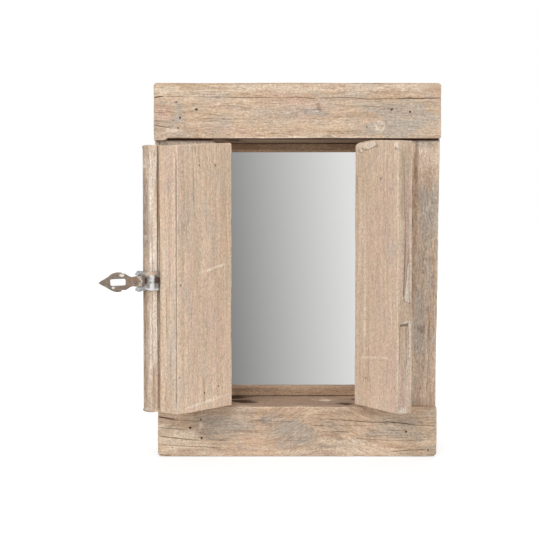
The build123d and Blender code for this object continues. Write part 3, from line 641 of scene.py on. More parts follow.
def weathered_timber(name, grain, light, dark, grey, pale, warm, cloud=0.5, offset=0.0, fleck=0.55,
                     dark_fleck="#8f745c", swirl=None, stroke=0.24):
    """Bleached and sanded hardwood. Its colours are laid over each other like coats of wash."""
    material, tree, output = new_material(name)
    layers = grain_layers(tree, grain, offset, swirl)
    marks = add(tree, "ShaderNodeAttribute", attribute_name="marks")
    darkening, lightened, greyed = add(tree, "ShaderNodeSeparateColor", {"Color": marks.outputs["Color"]}).outputs[:3]
    warmed = marks.outputs["Alpha"]

    # A coat is a noise layer, the part of its range that counts, least and most cover, the mark that it
    # needs, and a colour
    coats = [("bands", 0.34, 0.66, 0.0, 1.0, None, dark),
             ("warm clouds", 0.46, 0.68, 0.0, cloud, None, warm),
             ("clouds", 0.50, 0.68, 0.0, cloud, None, grey),
             ("clouds", 0.3, 0.6, 0.35, 1.0, greyed, grey),
             ("clouds", 0.0, 1.0, WARM_COVER, WARM_COVER, warmed, warm),
             ("flecks", 0.55, 0.74, 0.0, fleck, None, pale),
             ("flecks", 0.45, 0.28, 0.0, fleck * 0.75, None, dark_fleck),
             ("stipple", 0.3, 0.6, 0.7, 1.0, lightened, pale)]
    colour = linear(light)
    for layer, low, high, least, most, where, tone in coats:
        share = add(tree, "ShaderNodeMapRange", {"Value": layers[layer], "From Min": low, "From Max": high,
                                                 "To Min": least, "To Max": most}).outputs[0]
        if where is not None:
            share = add(tree, "ShaderNodeMath", {0: where, 1: share}, operation="MULTIPLY").outputs[0]
        colour = add(tree, "ShaderNodeMix", {0: share, 6: colour, 7: linear(tone)}, data_type="RGBA").outputs[2]

    # Fibres, pores and dark strokes shade the coats, and dirt and painted shade lie over all
    strokes = add(tree, "ShaderNodeMapRange", {"Value": layers["strokes"], "From Min": 0.56, "From Max": 0.68})
    strokes = strokes.outputs[0]
    shade = 1.0
    for layer, low, high, least, most in ((layers["fibres"], 0.25, 0.75, 0.86, 1.12),
                                          (layers["stipple"], 0.32, 0.68, 0.80, 1.20),
                                          (strokes, 0.0, 1.0, 1.0, 1 - stroke)):
        part = add(tree, "ShaderNodeMapRange", {"Value": layer, "From Min": low, "From Max": high,
                                                "To Min": least, "To Max": most}).outputs[0]
        shade = add(tree, "ShaderNodeMath", {0: shade, 1: part}, operation="MULTIPLY").outputs[0]
    colour = add(tree, "ShaderNodeMix", {0: 1.0, 6: colour, 7: shade}, data_type="RGBA",
                 blend_type="MULTIPLY").outputs[2]
    share = add(tree, "ShaderNodeMath", {0: darkening, 1: DIRT_AND_SHADE_COVER}, operation="MULTIPLY").outputs[0]
    colour = add(tree, "ShaderNodeMix", {0: share, 6: colour, 7: linear(DIRT_AND_SHADE_BROWN)}, data_type="RGBA").outputs[2]

    height = 0.0
    for layer, rise in ((layers["fibres"], 0.5), (layers["stipple"], 0.5), (strokes, -0.4)):
        height = add(tree, "ShaderNodeMath", {0: layer, 1: rise, 2: height}, operation="MULTIPLY_ADD").outputs[0]
    bump = add(tree, "ShaderNodeBump", {"Strength": 0.75, "Distance": 0.5 * MM, "Height": height})
    rough = add(tree, "ShaderNodeMapRange", {"Value": layers["bands"], "From Min": 0.3, "From Max": 0.7,
                                             "To Min": 0.74, "To Max": 0.9})
    # Bare dry wood scatters light in its open fibres, so it is rough and has little gloss
    shader = add(tree, "ShaderNodeBsdfPrincipled", {
        "Base Color": colour, "Roughness": rough.outputs[0], "Specular IOR Level": 0.28,
        "Normal": bump.outputs[0]})
    tree.links.new(shader.outputs[0], output.inputs["Surface"])
    return material


print("old dirt covers up to", DIRT_AND_SHADE_COVER, "of the coats under it")

# %% The timbers of this mirror
RAIL_WOOD = weathered_timber("bleached_hardwood_top", X, light="#d2b99f", dark="#bb9f83", grey="#b0a79c",
                             pale="#e6d5c0", warm="#c6a695", cloud=0.55, offset=0.13)
SILL_WOOD = weathered_timber("bleached_hardwood_sill", X, light="#d0b69c", dark="#b3987e", grey="#a49b90",
                             pale="#e2d0b9", warm="#c1a28b", cloud=0.6, offset=0.37, swirl=(29.0, 42.0, 26.0))
STILE_WOOD = weathered_timber("greyed_hardwood", Z, light="#d8c3ad", dark="#b8a18c", grey="#b4aca3",
                              pale="#eadccb", warm="#be9f86", cloud=0.6, offset=0.71, fleck=0.7,
                              dark_fleck="#80695a")
PLANK_WOOD = weathered_timber("bleached_plank", Z, light="#e4ccb4", dark="#d1b79c", grey="#cbbcad",
                              pale="#f2e3d2", warm="#dabcab", cloud=0.6, offset=0.29, fleck=0.3, stroke=0.11)
STRIP_WOOD = weathered_timber("bleached_moulding", Z, light="#e2cfbb", dark="#c8ad94", grey="#bdb3aa",
                              pale="#f2e6d8", warm="#a88a70", cloud=0.35, offset=0.53, fleck=0.45)
SLIP_COLOURS = {"light": "#c8ab90", "dark": "#ab9077", "grey": "#a18d7b", "pale": "#d6bda0",
                "warm": "#ac8c6e", "dark_fleck": "#665040"}
SLIP_WOOD = weathered_timber("stained_softwood", X, **SLIP_COLOURS, cloud=0.3, offset=0.91, fleck=0.4)
SLIP_WOOD_UPRIGHT = weathered_timber("stained_softwood_upright", Z, **SLIP_COLOURS, cloud=0.3, offset=0.97,
                                     fleck=0.4)
print("timber materials", [m.name for m in bpy.data.materials])

# %% [markdown]
# ## The two rails
# The head and the sill are single beams. Their faces carry the marks that give each its character:
# long drying cracks, old nail holes, a knot, and grey cloudy patches where the wash stayed. Scattered
# marks would be less work, but the eye knows this frame by its own cracks, so each one has its place.
# Places are in millimetres on the face, across and up, and sizes follow them.

# %% Sizes of the frame
HEAD_Z, SILL_Z, TOP_Z = 333.5, 53.5, 392.0
HEAD_HALF, SILL_HALF = 150, 147
LEFT_X, RIGHT_X = -87.7, 81.5
FRONT_Y, STILE_FRONT_Y, BACK_Y, BOARD_Y = -47.5, -37.5, 47.5, 43.5
REBATE = 8.0
BEAM_ROWS, PLANK_ROWS = 1.9, 1.7
rebate_cut = pocket(Y, 1, BOARD_Y, {X: (LEFT_X - REBATE, RIGHT_X + REBATE), Z: (SILL_Z - REBATE, HEAD_Z + REBATE)})


def finish_piece(made, material, slot_name, body, *nodes):
    """Gives a piece its finish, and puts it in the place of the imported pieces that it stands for."""
    made.data.materials.clear()
    made.data.materials.append(material)
    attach(made, body)
    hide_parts(*nodes)


print("the opening is", round(RIGHT_X - LEFT_X, 1), "by", HEAD_Z - SILL_Z, "mm")

# %% The top rail
NAIL_MOUTH, NAIL_RISE = 1.15, 0.45
HORN_END, HORN_DROP = -136.5, 2.6


def horn(points):
    """The lower front arris hangs a little at the left end, where it has not been knocked."""
    share = (1 - smooth(HORN_END - 1, HORN_END + 0.8, points[:, X])) * (1 - smooth(-39.5, -38.2, points[:, Y]))
    points[:, Z] -= HORN_DROP * share * (1 - smooth(HEAD_Z, HEAD_Z + 14, points[:, Z]))
    return points


top_marks = [
    hole(FRONT, -126.3, 371.5, 0.65, rise=NAIL_RISE), hole(FRONT, -105.1, 363.9, NAIL_MOUTH, rise=NAIL_RISE),
    hole(FRONT, 97.9, 363.9, 1.0, rise=NAIL_RISE), hole(FRONT, 117.1, 361.6, 0.9, rise=NAIL_RISE),
    hole(FRONT, -122.3, 355.5, 0.85), hole(FRONT, -124.4, 344.8, 0.7), hole(FRONT, -129.5, 352.5, 0.5, 1.0, 0.6),
    hole(FRONT, 72.3, 345.8, 0.6, 1.5, 0.8), ring_knot(FRONT, 86.0, 346.6, 5.2),
    crack(FRONT, X, (-149.5, 376.2), (-139, 377.6), 1.2, 2.0, 0.2, gaps=1.4),
    crack(FRONT, X, (-140, 377.4), (-70, 377.0), 0.45, 1.0, 0.6, 0.55, 0.15, gaps=0.35),
    crack(FRONT, X, (-76, 377.0), (20, 375.6), 0.5, 1.0, 0.8, 0.6, 0.15, gaps=0.3),
    crack(FRONT, X, (22, 375.4), (100, 375.0), 0.45, 1.0, 0.9, 0.6, 0.15, gaps=0.3),
    crack(FRONT, X, (100, 374.8), (149.5, 377.0), 0.8, 1.6, 0.9, 0.8, 0.2, gaps=0.8),
    crack(FRONT, X, (-149.5, 352.0), (-131, 350.0), 0.5, 1.0, 0.6, 0.6),
    crack(FRONT, X, (-149.5, 347.4), (-134, 344.8), 0.6, 1.2, 0.6, 0.8),
    crack(FRONT, X, (-78, 368.6), (-52, 365.8), 0.4, 0.6, 0.5, 0.45),
    crack(FRONT, X, (-102, 354.6), (-40, 353.4), 0.4, 0.6, 0.7, 0.4),
    crack(FRONT, X, (28, 369.4), (92, 366.6), 0.4, 0.6, 0.7, 0.4),
    crack(FRONT, X, (-98.5, 341.5), (-90.5, 335.0), 0.5, 0.8, 0.3, 0.7),
    shard(FRONT, [(18.5, 369), (22.5, 360.5), (26.0, 361.5), (22.5, 371)], 0.3, DIRT_AND_SHADE, 0.36),
    patch(FRONT, -123, 360, 9, 17, GREY, 0.8, 0.8), patch(FRONT, -104, 366, 14, 7, GREY, 0.6, 0.8),
    patch(FRONT, 9, 362, 22, 7, GREY, 0.7, 0.8), patch(FRONT, 107, 358, 34, 16, GREY, 0.75, 0.9),
    patch(FRONT, 84, 347, 15, 9, GREY, 0.8, 0.7), patch(FRONT, -140, 384, 12, 7, PALE, 0.6, 0.7),
    patch(FRONT, -132, 341, 9, 4, PALE, 0.8, 0.6), patch(FRONT, -142, 362, 7, 12, WARM, 0.8, 0.7),
    patch(FRONT, 10, 385, 140, 7, PALE, 0.5, 0.9), patch(FRONT, -10, 360, 50, 20, GREY, 0.4, 0.9),
    patch(FRONT, 0, 334.2, 150, 1.9, PALE, 0.75, 0.25), patch(FRONT, 0, 391.6, 160, 1.1, DIRT_AND_SHADE, 0.4, 0.4),
    crack(TOP, X, (-140, -12), (70, -4), 0.8, 1.6, 1.6, 0.65),
    crack(TOP, X, (-20, 22), (145, 18), 0.7, 1.3, 1.2, 0.65), patch(TOP, -60, 5, 40, 18, GREY, 0.8),
    # The underside is darker all over, and a dark strip just behind its front arris is painted shadow
    patch(UNDER, 0, -38, 600, 20, DIRT_AND_SHADE, 0.9, 0.2), patch(UNDER, 0, 20, 600, 60, DIRT_AND_SHADE, 0.5, 0.35),
    patch(UNDER, -46, -42, 4, 5, PALE, 0.6), patch(UNDER, 44, -36, 14, 6, GREY, 0.8),
    patch(UNDER, -66, -30, 18, 30, DIRT_AND_SHADE, 0.95, 0.6), crack(LEFT_END, Y, (-44, 377), (10, 374), 0.7, 1.8, 1.0, 0.6),
    crack(RIGHT_END, Y, (-44, 377), (20, 380), 0.7, 1.8, 1.0, 0.6),
    *random_marks(BACK, (-HEAD_HALF, 0, HEAD_Z), (HEAD_HALF, 0, TOP_Z), X, 3, 11)]
rail_corners = [(X, LOW_END, Z, HIGH_END, 3.8), (X, HIGH_END, Z, HIGH_END, 4.2), (X, HIGH_END, Z, LOW_END, 2.6)]
top_rail = worn_timber("head_beam", (-HEAD_HALF, FRONT_Y, HEAD_Z), (HEAD_HALF, BACK_Y, TOP_Z), X,
                       radii=(3.2, 1.6, 2.0), spacing=BEAM_ROWS, marks=top_marks, pockets=[rebate_cut], seed=3,
                       warp=horn, corners=rail_corners)
finish_piece(top_rail, RAIL_WOOD, "rail_timber", "window_frame", "top_rail")

# %% The bottom rail
low_marks = [
    hole(FRONT, -101.4, 39.6, 0.9, rise=NAIL_RISE), hole(FRONT, -112.6, 31.0, NAIL_MOUTH, rise=NAIL_RISE),
    hole(FRONT, 100.2, 28.2, 0.6, 1.2, 0.6), crack(FRONT, X, (100, 28), (107, 24.4), 0.5, 0.6, 0.3, 0.45, gaps=1.2),
    hole(FRONT, 114.3, 26.75, 1.0, rise=NAIL_RISE), hole(FRONT, -100.6, 20.1, 1.0),
    hole(FRONT, 137.5, 7.4, 0.9, 1.5, 0.7), crack(FRONT, X, (-146.5, 42.8), (-128, 39.6), 1.4, 2.0, 0.4, gaps=1.2),
    crack(FRONT, X, (-130, 39.4), (-96, 38.4), 0.4, 0.7, 0.6, 0.45),
    crack(FRONT, X, (-146.5, 31.6), (-117, 29), 0.5, 1.0, 0.6, 0.6),
    crack(FRONT, X, (-146.5, 22.0), (-104, 17.9), 0.7, 1.4, 0.7, 0.8, gaps=0.6),
    crack(FRONT, X, (-144, 12.4), (-79, 9.0), 0.45, 1.0, 0.6, 0.65, gaps=0.6),
    crack(FRONT, X, (-54, 38.6), (42, 36.4), 0.4, 0.7, 0.8, 0.45),
    crack(FRONT, X, (15, 41.2), (62, 37.6), 0.45, 0.8, 0.6, 0.5),
    crack(FRONT, X, (60, 37.6), (94, 36.6), 0.6, 1.3, 0.6, 0.7),
    crack(FRONT, X, (92, 37.6), (118, 34.6), 0.75, 1.6, 0.4, 0.8, gaps=1.2),
    crack(FRONT, X, (116, 34.2), (146.5, 32.0), 0.5, 1.0, 0.6, 0.7),
    crack(FRONT, X, (100, 5.6), (136, 8.2), 0.7, 1.4, 0.4, 0.75),
    crack(FRONT, X, (60, 20), (120, 16.5), 0.4, 0.6, 0.9, 0.35),
    crack(FRONT, X, (36, 26), (56, 24.6), 0.9, 0.8, 1.4, 0.6, gaps=0.1),
    crack(FRONT, X, (15, 33.8), (28, 33.2), 0.9, 0.8, 0.4, 0.55, gaps=1.0),
    crack(FRONT, X, (112, 17.0), (134, 18.0), 0.5, 0.8, 0.7, 0.5), patch(FRONT, -76, 34, 40, 16, GREY, 0.65, 0.8),
    patch(FRONT, 5, 27, 52, 20, GREY, 0.85, 0.9), patch(FRONT, 112, 34, 36, 18, GREY, 0.8, 0.7),
    patch(FRONT, 110, 24, 40, 20, PALE, 0.25, 0.6), patch(FRONT, -20, 20, 30, 12, GREY, 0.6, 0.9),
    patch(FRONT, 0, 5, 150, 6, WARM, 0.5, 0.4), patch(FRONT, -20, 4, 120, 4, PALE, 0.45, 0.8),
    # The second pale patch, at the left, is painted light that makes up for the shadow of the left shutter
    patch(FRONT, 74, 12, 40, 8, PALE, 0.5, 0.8), patch(FRONT, -118, 20, 34, 16, PALE, 0.85, 0.8),
    # The dark patch at the foot of the left end is painted shadow
    patch(FRONT, -139, 1.2, 9, 1.8, DIRT_AND_SHADE, 0.7, 0.4), patch(FRONT, 60, 47, 20, 3.0, DIRT_AND_SHADE, 0.20, 0.7),
    patch(FRONT, 6, 44, 70, 8, DIRT_AND_SHADE, 0.13, 0.5), patch(FRONT, 0, 27, 70, 22, DIRT_AND_SHADE, 0.07, 0.5),
    patch(FRONT, 0, 52.8, 150, 0.9, PALE, 0.4, 0.5),
    crack(TOP, X, (-86, 16), (-28, 8), 3.4, 2.0, 1.2, 0.85, gaps=1.0),
    crack(TOP, X, (-86, -8), (-6, -10), 2.2, 1.6, 1.6, 0.8, gaps=0.8),
    crack(TOP, X, (-40, -24), (70, -22), 1.6, 1.4, 1.6, 0.7, gaps=0.5),
    # The ledge in the opening is darkened all over as painted shade of the recess, with darker stained patches
    crack(TOP, X, (-30, 20), (80, 22), 1.6, 1.4, 1.2, 0.8), patch(TOP, 0, 0, 110, 60, DIRT_AND_SHADE, 0.34, 0.9),
    patch(TOP, 50, -24, 15, 10, DIRT_AND_SHADE, 1.05, 0.35), patch(TOP, 66, 4, 10, 10, DIRT_AND_SHADE, 1.0, 0.35),
    chip(TOP, 31, 2, 6, 12, 0.9, 1.1), patch(TOP, -82, 17, 42, 21, DIRT_AND_SHADE, 1.15, 0.3),
    patch(TOP, -58, -9, 26, 15, DIRT_AND_SHADE, 1.15, 0.35), crack(TOP, X, (-50, -4), (4, -8), 3.2, 1.6, 1.6, 0.95, gaps=1.2),
    # The pale band along the front edge of the ledge is painted light
    patch(TOP, 0, 0, 600, 60, WARM, 0.5, 0.3), patch(TOP, 10, -41, 90, 4, PALE, 0.5, 0.8),
    crack(UNDER, X, (-120, 0), (30, 5), 1.0, 2.0, 1.2), crack(LEFT_END, Y, (-44, 21), (30, 25), 0.7, 1.8, 1.0, 0.6),
    crack(RIGHT_END, Y, (-44, 32), (10, 30), 0.7, 1.8, 1.0, 0.6),
    *random_marks(BACK, (-SILL_HALF, 0, 0), (SILL_HALF, 0, SILL_Z), X, 3, 12)]
sill_corners = [(X, LOW_END, Z, LOW_END, 4.6), (X, HIGH_END, Z, LOW_END, 5.2)]
bottom_rail = worn_timber("sill_beam", (-SILL_HALF, FRONT_Y, 0), (SILL_HALF, BACK_Y, SILL_Z), X,
                          radii=(3.2, 1.6, 1.5), spacing=BEAM_ROWS, marks=low_marks, pockets=[rebate_cut],
                          seed=5, corners=sill_corners)
finish_piece(bottom_rail, SILL_WOOD, "rail_timber", "window_frame", "bottom_rail")

# %% [markdown]
# ## The two stiles
# Each upright is tapered, because the head beam is longer than the sill. They stand ten millimetres back
# from the rails. Seats for the hinge leaves are let into their inner edges, and a keyhole slot in each
# back takes a wall screw. A keyhole has a round outline that a square mesh can't follow, so the points
# nearest to it are first slid onto the outline, and only then pushed in.

# %% Seats and keyholes
PIVOT_Y, HALF_GAP = -37.5, 0.75
SEAT_DEPTH, LEAF_WIDTH, HINGE_HALF, KNUCKLE_ROOM, KNUCKLE_HALF = 1.0, 11.5, 19.0, 2.8, 20.1
HINGE_LEVELS = {"left": (101.5, 283.2), "right": (102.1, 283.0)}
KEYHOLE_X, KEYHOLE_LOW, KEYHOLE_HIGH = 117.0, 299.5, 311.5
ENTRY_RADIUS, NECK_RADIUS, KEYHOLE_DEPTH = 5.0, 2.5, 12.0
KEYHOLE_ROWS = 0.5
NUDGE = 0.01


def hinge_seats(side, away, pivot, before):
    """The cuts for two hinge leaves and their knuckles in the wood on one side of a hinge pin.

    away is -1 or 1, the way from the pin to the wood, and before is how far the seat runs on in front.
    """
    x, y = pivot
    cuts = []
    for level in HINGE_LEVELS[side]:
        cuts.append(pocket(X, -away, x + away * (HALF_GAP + SEAT_DEPTH),
                           {Y: (y - before, y + LEAF_WIDTH), Z: (level - HINGE_HALF, level + HINGE_HALF)}))
        cuts.append(round_pocket(X, -away, Y, pivot, KNUCKLE_ROOM,
                                 {Y: (y - KNUCKLE_ROOM, y + KNUCKLE_ROOM),
                                  Z: (level - KNUCKLE_HALF, level + KNUCKLE_HALF)}))
    return cuts


def keyhole_far(x, z, middle):
    """How far a point of the back lies outside the outline of a keyhole."""
    entry = np.hypot(x - middle, z - KEYHOLE_LOW) - ENTRY_RADIUS
    neck = np.hypot(x - middle, z - np.clip(z, KEYHOLE_LOW, KEYHOLE_HIGH)) - NECK_RADIUS
    return np.minimum(entry, neck)


def cut_keyhole(points, middle, step=0.45):
    """Slides the points near the outline onto it, and pushes the ones inside it in."""
    back = points[:, Y] > BACK_Y - 1.6
    x, z = points[:, X], points[:, Z]
    far = keyhole_far(x, z, middle)
    slope_x = (keyhole_far(x + NUDGE, z, middle) - far) / NUDGE
    slope_z = (keyhole_far(x, z + NUDGE, middle) - far) / NUDGE
    near = back & (np.abs(far) < step)
    points[near, X] -= (far * slope_x)[near]
    points[near, Z] -= (far * slope_z)[near]
    inside = back & (far < 0)
    points[inside, Y] = BACK_Y - KEYHOLE_DEPTH
    return points


print("four hinge seats", 2 * HINGE_HALF, "mm high, and two keyholes", KEYHOLE_DEPTH, "mm deep")

# %% Stiles
# The ends reach a little into the rails, so that no light shows through the worn joints
STILE_FOOT_IN, STILE_HEAD_IN = 1.5, 0.8


def stile(side):
    """One upright, with its marks, its taper and its straight cuts."""
    sign, inner, seed = {"left": (-1, LEFT_X, 7), "right": (1, RIGHT_X, 8)}[side]
    outside = RIGHT_END if side == "right" else LEFT_END
    start, end = sorted((inner, sign * HEAD_HALF))

    def shape(points):
        outer = SILL_HALF + (HEAD_HALF - SILL_HALF) * (points[:, Z] - SILL_Z) / (HEAD_Z - SILL_Z)
        share = (outer - sign * inner) / (HEAD_HALF - sign * inner)
        points[:, X] = inner + (points[:, X] - inner) * share
        return cut_keyhole(points, sign * KEYHOLE_X)

    keyhole_rows = [(X, sign * KEYHOLE_X, ENTRY_RADIUS + 1, KEYHOLE_ROWS),
                    (Z, (KEYHOLE_LOW + KEYHOLE_HIGH) / 2, 13, KEYHOLE_ROWS)]
    marks = [
        crack(FRONT, Z, (sign * 139, 60), (sign * 141, 150), 0.4, 0.6, 1.0, 0.25),
        crack(FRONT, Z, (sign * 145, 120), (sign * 145.5, 240), 0.4, 0.6, 0.8, 0.25),
        hole(FRONT, sign * 134, 208, 0.6, 1.0, 0.7), patch(FRONT, sign * 125.5, 312, 3.5, 22, DIRT_AND_SHADE, 0.5, 0.4),
        patch(FRONT, sign * 123, 270, 4, 40, WARM, 0.9, 0.7), patch(FRONT, sign * 138, 250, 9, 60, GREY, 0.6, 0.8),
        # A black line at the head of the stile is painted shadow under the head beam
        patch(FRONT, sign * 116, 333.6, 60, 1.5, DIRT_AND_SHADE, 1.3, 0.15),
        patch(FRONT, sign * 138, 314, 14, 14, PALE, 0.28, 0.5),
        patch(FRONT, sign * 136, 133, 9, 8, DIRT_AND_SHADE, 0.34, 0.6),
        patch(FRONT, sign * 132, 150, 12, 60, GREY, 0.65, 0.9),
        # A pale band just below it is painted light, against the head beam's own shadow
        patch(FRONT, sign * 116, 330.2, 80, 2.4, PALE, 0.9, 0.2),
        patch(FRONT, sign * 122, 200, 4, 60, WARM, 0.8, 0.9),
        crack(outside, Z, (-10, 70), (-8, 210), 0.6, 1.4, 1.4, 0.55),
        crack(outside, Z, (18, 160), (20, 320), 0.5, 1.2, 1.2, 0.5), patch(outside, 5, 200, 24, 70, GREY, 0.7),
        hole(outside, -14, 262, 1.1), crack(BACK, Z, (sign * 130, 80), (sign * 131, 250), 0.8, 1.6, 1.2),
        mark(BACK, keyhole_rows, untouched)]
    made = worn_timber(side + "_upright", (start, STILE_FRONT_Y, SILL_Z - STILE_FOOT_IN),
                       (end, BACK_Y, HEAD_Z + STILE_HEAD_IN), Z,
                       radii=(1.7, 1.7, 1.0), spacing=BEAM_ROWS, marks=marks,
                       pockets=[rebate_cut, *hinge_seats(side, sign, (inner - sign * HALF_GAP, PIVOT_Y), 5.0)],
                       seed=seed, warp=shape)
    finish_piece(made, STILE_WOOD, "stile_timber", "window_frame", side + "_stile")


for side in ("left", "right"):
    stile(side)

# %% [markdown]
# ## The shutters
# Each shutter is one solid plank on two butt hinges. It is drawn closed, in its own frame round its
# hinge pin, and then every point is turned to its open place. The grain runs upright, along the axis
# of that turn, so the wood pattern fits the plank as well as before. An object that is turned instead
# would look the same, but with its points in place the mesh holds the plank where it really stands.

# %% Sizes of the shutters
LEFT_OPEN, RIGHT_OPEN = 128.5, 119.3
LEFT_FREE, RIGHT_FREE = 85.05, 79.15
THICK = 25.0
LEFT_FOOT, LEFT_HEAD, LEFT_FALL = 55.5, 329.2, 6.1
RIGHT_FOOT, RIGHT_HEAD, RIGHT_FALL = 56.1, 329.0, 1.0
MEETING_WIDTH, MEETING_DEPTH = 10.5, 8.0
PIVOT_X = {"left": LEFT_X + HALF_GAP, "right": RIGHT_X - HALF_GAP}
PLANK_RADII = (1.4, 1.3, 1.5)
PIN = (0.0, 0.0)


def open_piece(made, side):
    """Puts a piece that was drawn round the pin of a closed shutter in its open place."""
    turn = Matrix.Rotation(math.radians(-LEFT_OPEN if side == "left" else RIGHT_OPEN), 4, "Z")
    made.data.transform(Matrix.Translation((PIVOT_X[side] * MM, PIVOT_Y * MM, 0)) @ turn)
    made.data.update()
    return made


def saw_mark(face, start, end, width=2.6, strength=0.5):
    """A shallow pale scratch of a saw or a rasp, straight across the grain."""
    length = math.dist(start, end)
    way = ((end[0] - start[0]) / length, (end[1] - start[1]) / length)

    def shape(u, v, seed):
        along = ((u - start[0]) * way[0] + (v - start[1]) * way[1]) / length
        off = np.abs(-(u - start[0]) * way[1] + (v - start[1]) * way[0]) / (width / 2)
        place = face_points(u, v)
        broken = smooth(-1.1, 0.1, noise(place, (7, 2, 1), seed) + 0.5 * noise(place, (1.5, 6, 1), seed + 1))
        inside = (1 - smooth(0.2, 1.3, off)) * smooth(0, 0.2, along) * (1 - smooth(0.8, 1, along)) * broken
        return 0.3 * inside, {PALE: strength * inside}
    second = face_axes(face)[1]
    reach = abs(end[1] - start[1]) / 2 + width
    return mark(face, [(second, (start[1] + end[1]) / 2, reach, 0.7)], shape)


def crown_head(low, head, sign, free, crown, rise, fall, round_long, round_high):
    """The head of a plank rises to a low crown and falls towards its free edge. Its heel corner is round."""
    def shape(points):
        far = sign * points[:, X]
        top = np.interp(far, [HALF_GAP, crown, free], [0, rise, -fall])
        short = np.clip(1 - (far - HALF_GAP) / round_long, 0, 1)
        top = top - round_high * (1 - np.sqrt(1 - short * short))
        points[:, Z] = low + (points[:, Z] - low) * (1 + top / (head - low))
        return points
    return shape


print("the shutters stand", LEFT_OPEN, "and", RIGHT_OPEN, "degrees open")

# %% The left shutter
left_marks = [
    hole(BACK, 50.8, 307.0, 0.9, 1.5, 0.7), hole(BACK, 26.3, 306.0, 1.0), hole(BACK, 76.1, 301.0, 0.7, 1.0, 0.5),
    hole(BACK, 79.5, 187, 0.8), hole(BACK, 82.0, 93.5, 0.8), hole(BACK, 22.2, 78.2, 0.9),
    hole(BACK, 44.0, 73.3, 1.0), crack(BACK, Z, (43.6, 60), (44.6, 92), 0.8, 1.2, 0.5),
    crack(BACK, Z, (26.4, 296), (28.5, 110), 0.8, 0.5, 1.0, 0.34, gaps=0.7),
    crack(BACK, Z, (51.3, 327), (50.8, 309), 0.7, 0.6, 0.3, 0.5, gaps=1.2),
    crack(BACK, Z, (21.5, 303), (21.3, 288), 1.0, 0.5, 0.3, 0.35, gaps=1.2),
    crack(BACK, Z, (43.5, 178), (44.6, 122), 0.8, 0.5, 0.5, 0.34, gaps=1.0),
    crack(BACK, Z, (21.8, 200), (21.4, 150), 0.8, 0.5, 0.5, 0.34, gaps=1.0),
    crack(BACK, Z, (72.5, 290), (73.0, 262), 0.8, 0.5, 0.4, 0.36, gaps=1.0),
    crack(BACK, Z, (62, 180), (63, 80), 0.7, 0.4, 0.8, 0.26, gaps=0.6),
    saw_mark(BACK, (4, 205.0), (58.7, 196), 3.2, 1.0), saw_mark(BACK, (2, 68.5), (78, 60), 3.6, 1.0),
    patch(BACK, 60, 250, 18, 40, GREY, 0.35), patch(BACK, 30, 130, 18, 45, WARM, 0.35),
    crack(RIGHT_END, Z, (23.0, 56), (23.0, 328), 2.3, 0.8, 0.25, 0.62, gaps=1.3),
    patch(RIGHT_END, 12, 190, 16, 300, DIRT_AND_SHADE, 0.10, 0.4), patch(RIGHT_END, 6, 200, 4, 90, PALE, 0.4, 0.9),
    patch(RIGHT_END, 15, 250, 5, 70, WARM, 0.8, 0.9), patch(RIGHT_END, 19, 120, 4, 60, GREY, 0.8, 0.9),
    crack(RIGHT_END, Z, (8.5, 60), (9.5, 190), 0.5, 0.6, 0.8, 0.5),
    crack(RIGHT_END, Z, (14, 170), (13, 300), 0.5, 0.6, 0.8, 0.45),
    crack(FRONT, Z, (30, 80), (32, 240), 0.8, 1.4, 1.2), crack(FRONT, Z, (55, 180), (54, 310), 0.7, 1.1, 1.2),
    patch(FRONT, 35, 190, 20, 70, GREY, 0.6), hole(FRONT, 20, 300, 1.1), hole(FRONT, 48, 120, 1.0)]
left_head = crown_head(LEFT_FOOT, LEFT_HEAD, 1, LEFT_FREE, crown=25, rise=-1.0, fall=LEFT_FALL, round_long=4,
                       round_high=1.0)
left_shutter = worn_timber("left_plank", (HALF_GAP, 0, LEFT_FOOT), (LEFT_FREE, THICK, LEFT_HEAD), Z,
                           radii=PLANK_RADII, spacing=PLANK_ROWS, marks=left_marks,
                           pockets=hinge_seats("left", 1, PIN, 1.0), seed=9, warp=left_head,
                           corners=[(X, HIGH_END, Y, HIGH_END, 2.2)])
finish_piece(open_piece(left_shutter, "left"), PLANK_WOOD, "shutter_timber", "left_leaf", "left_shutter")

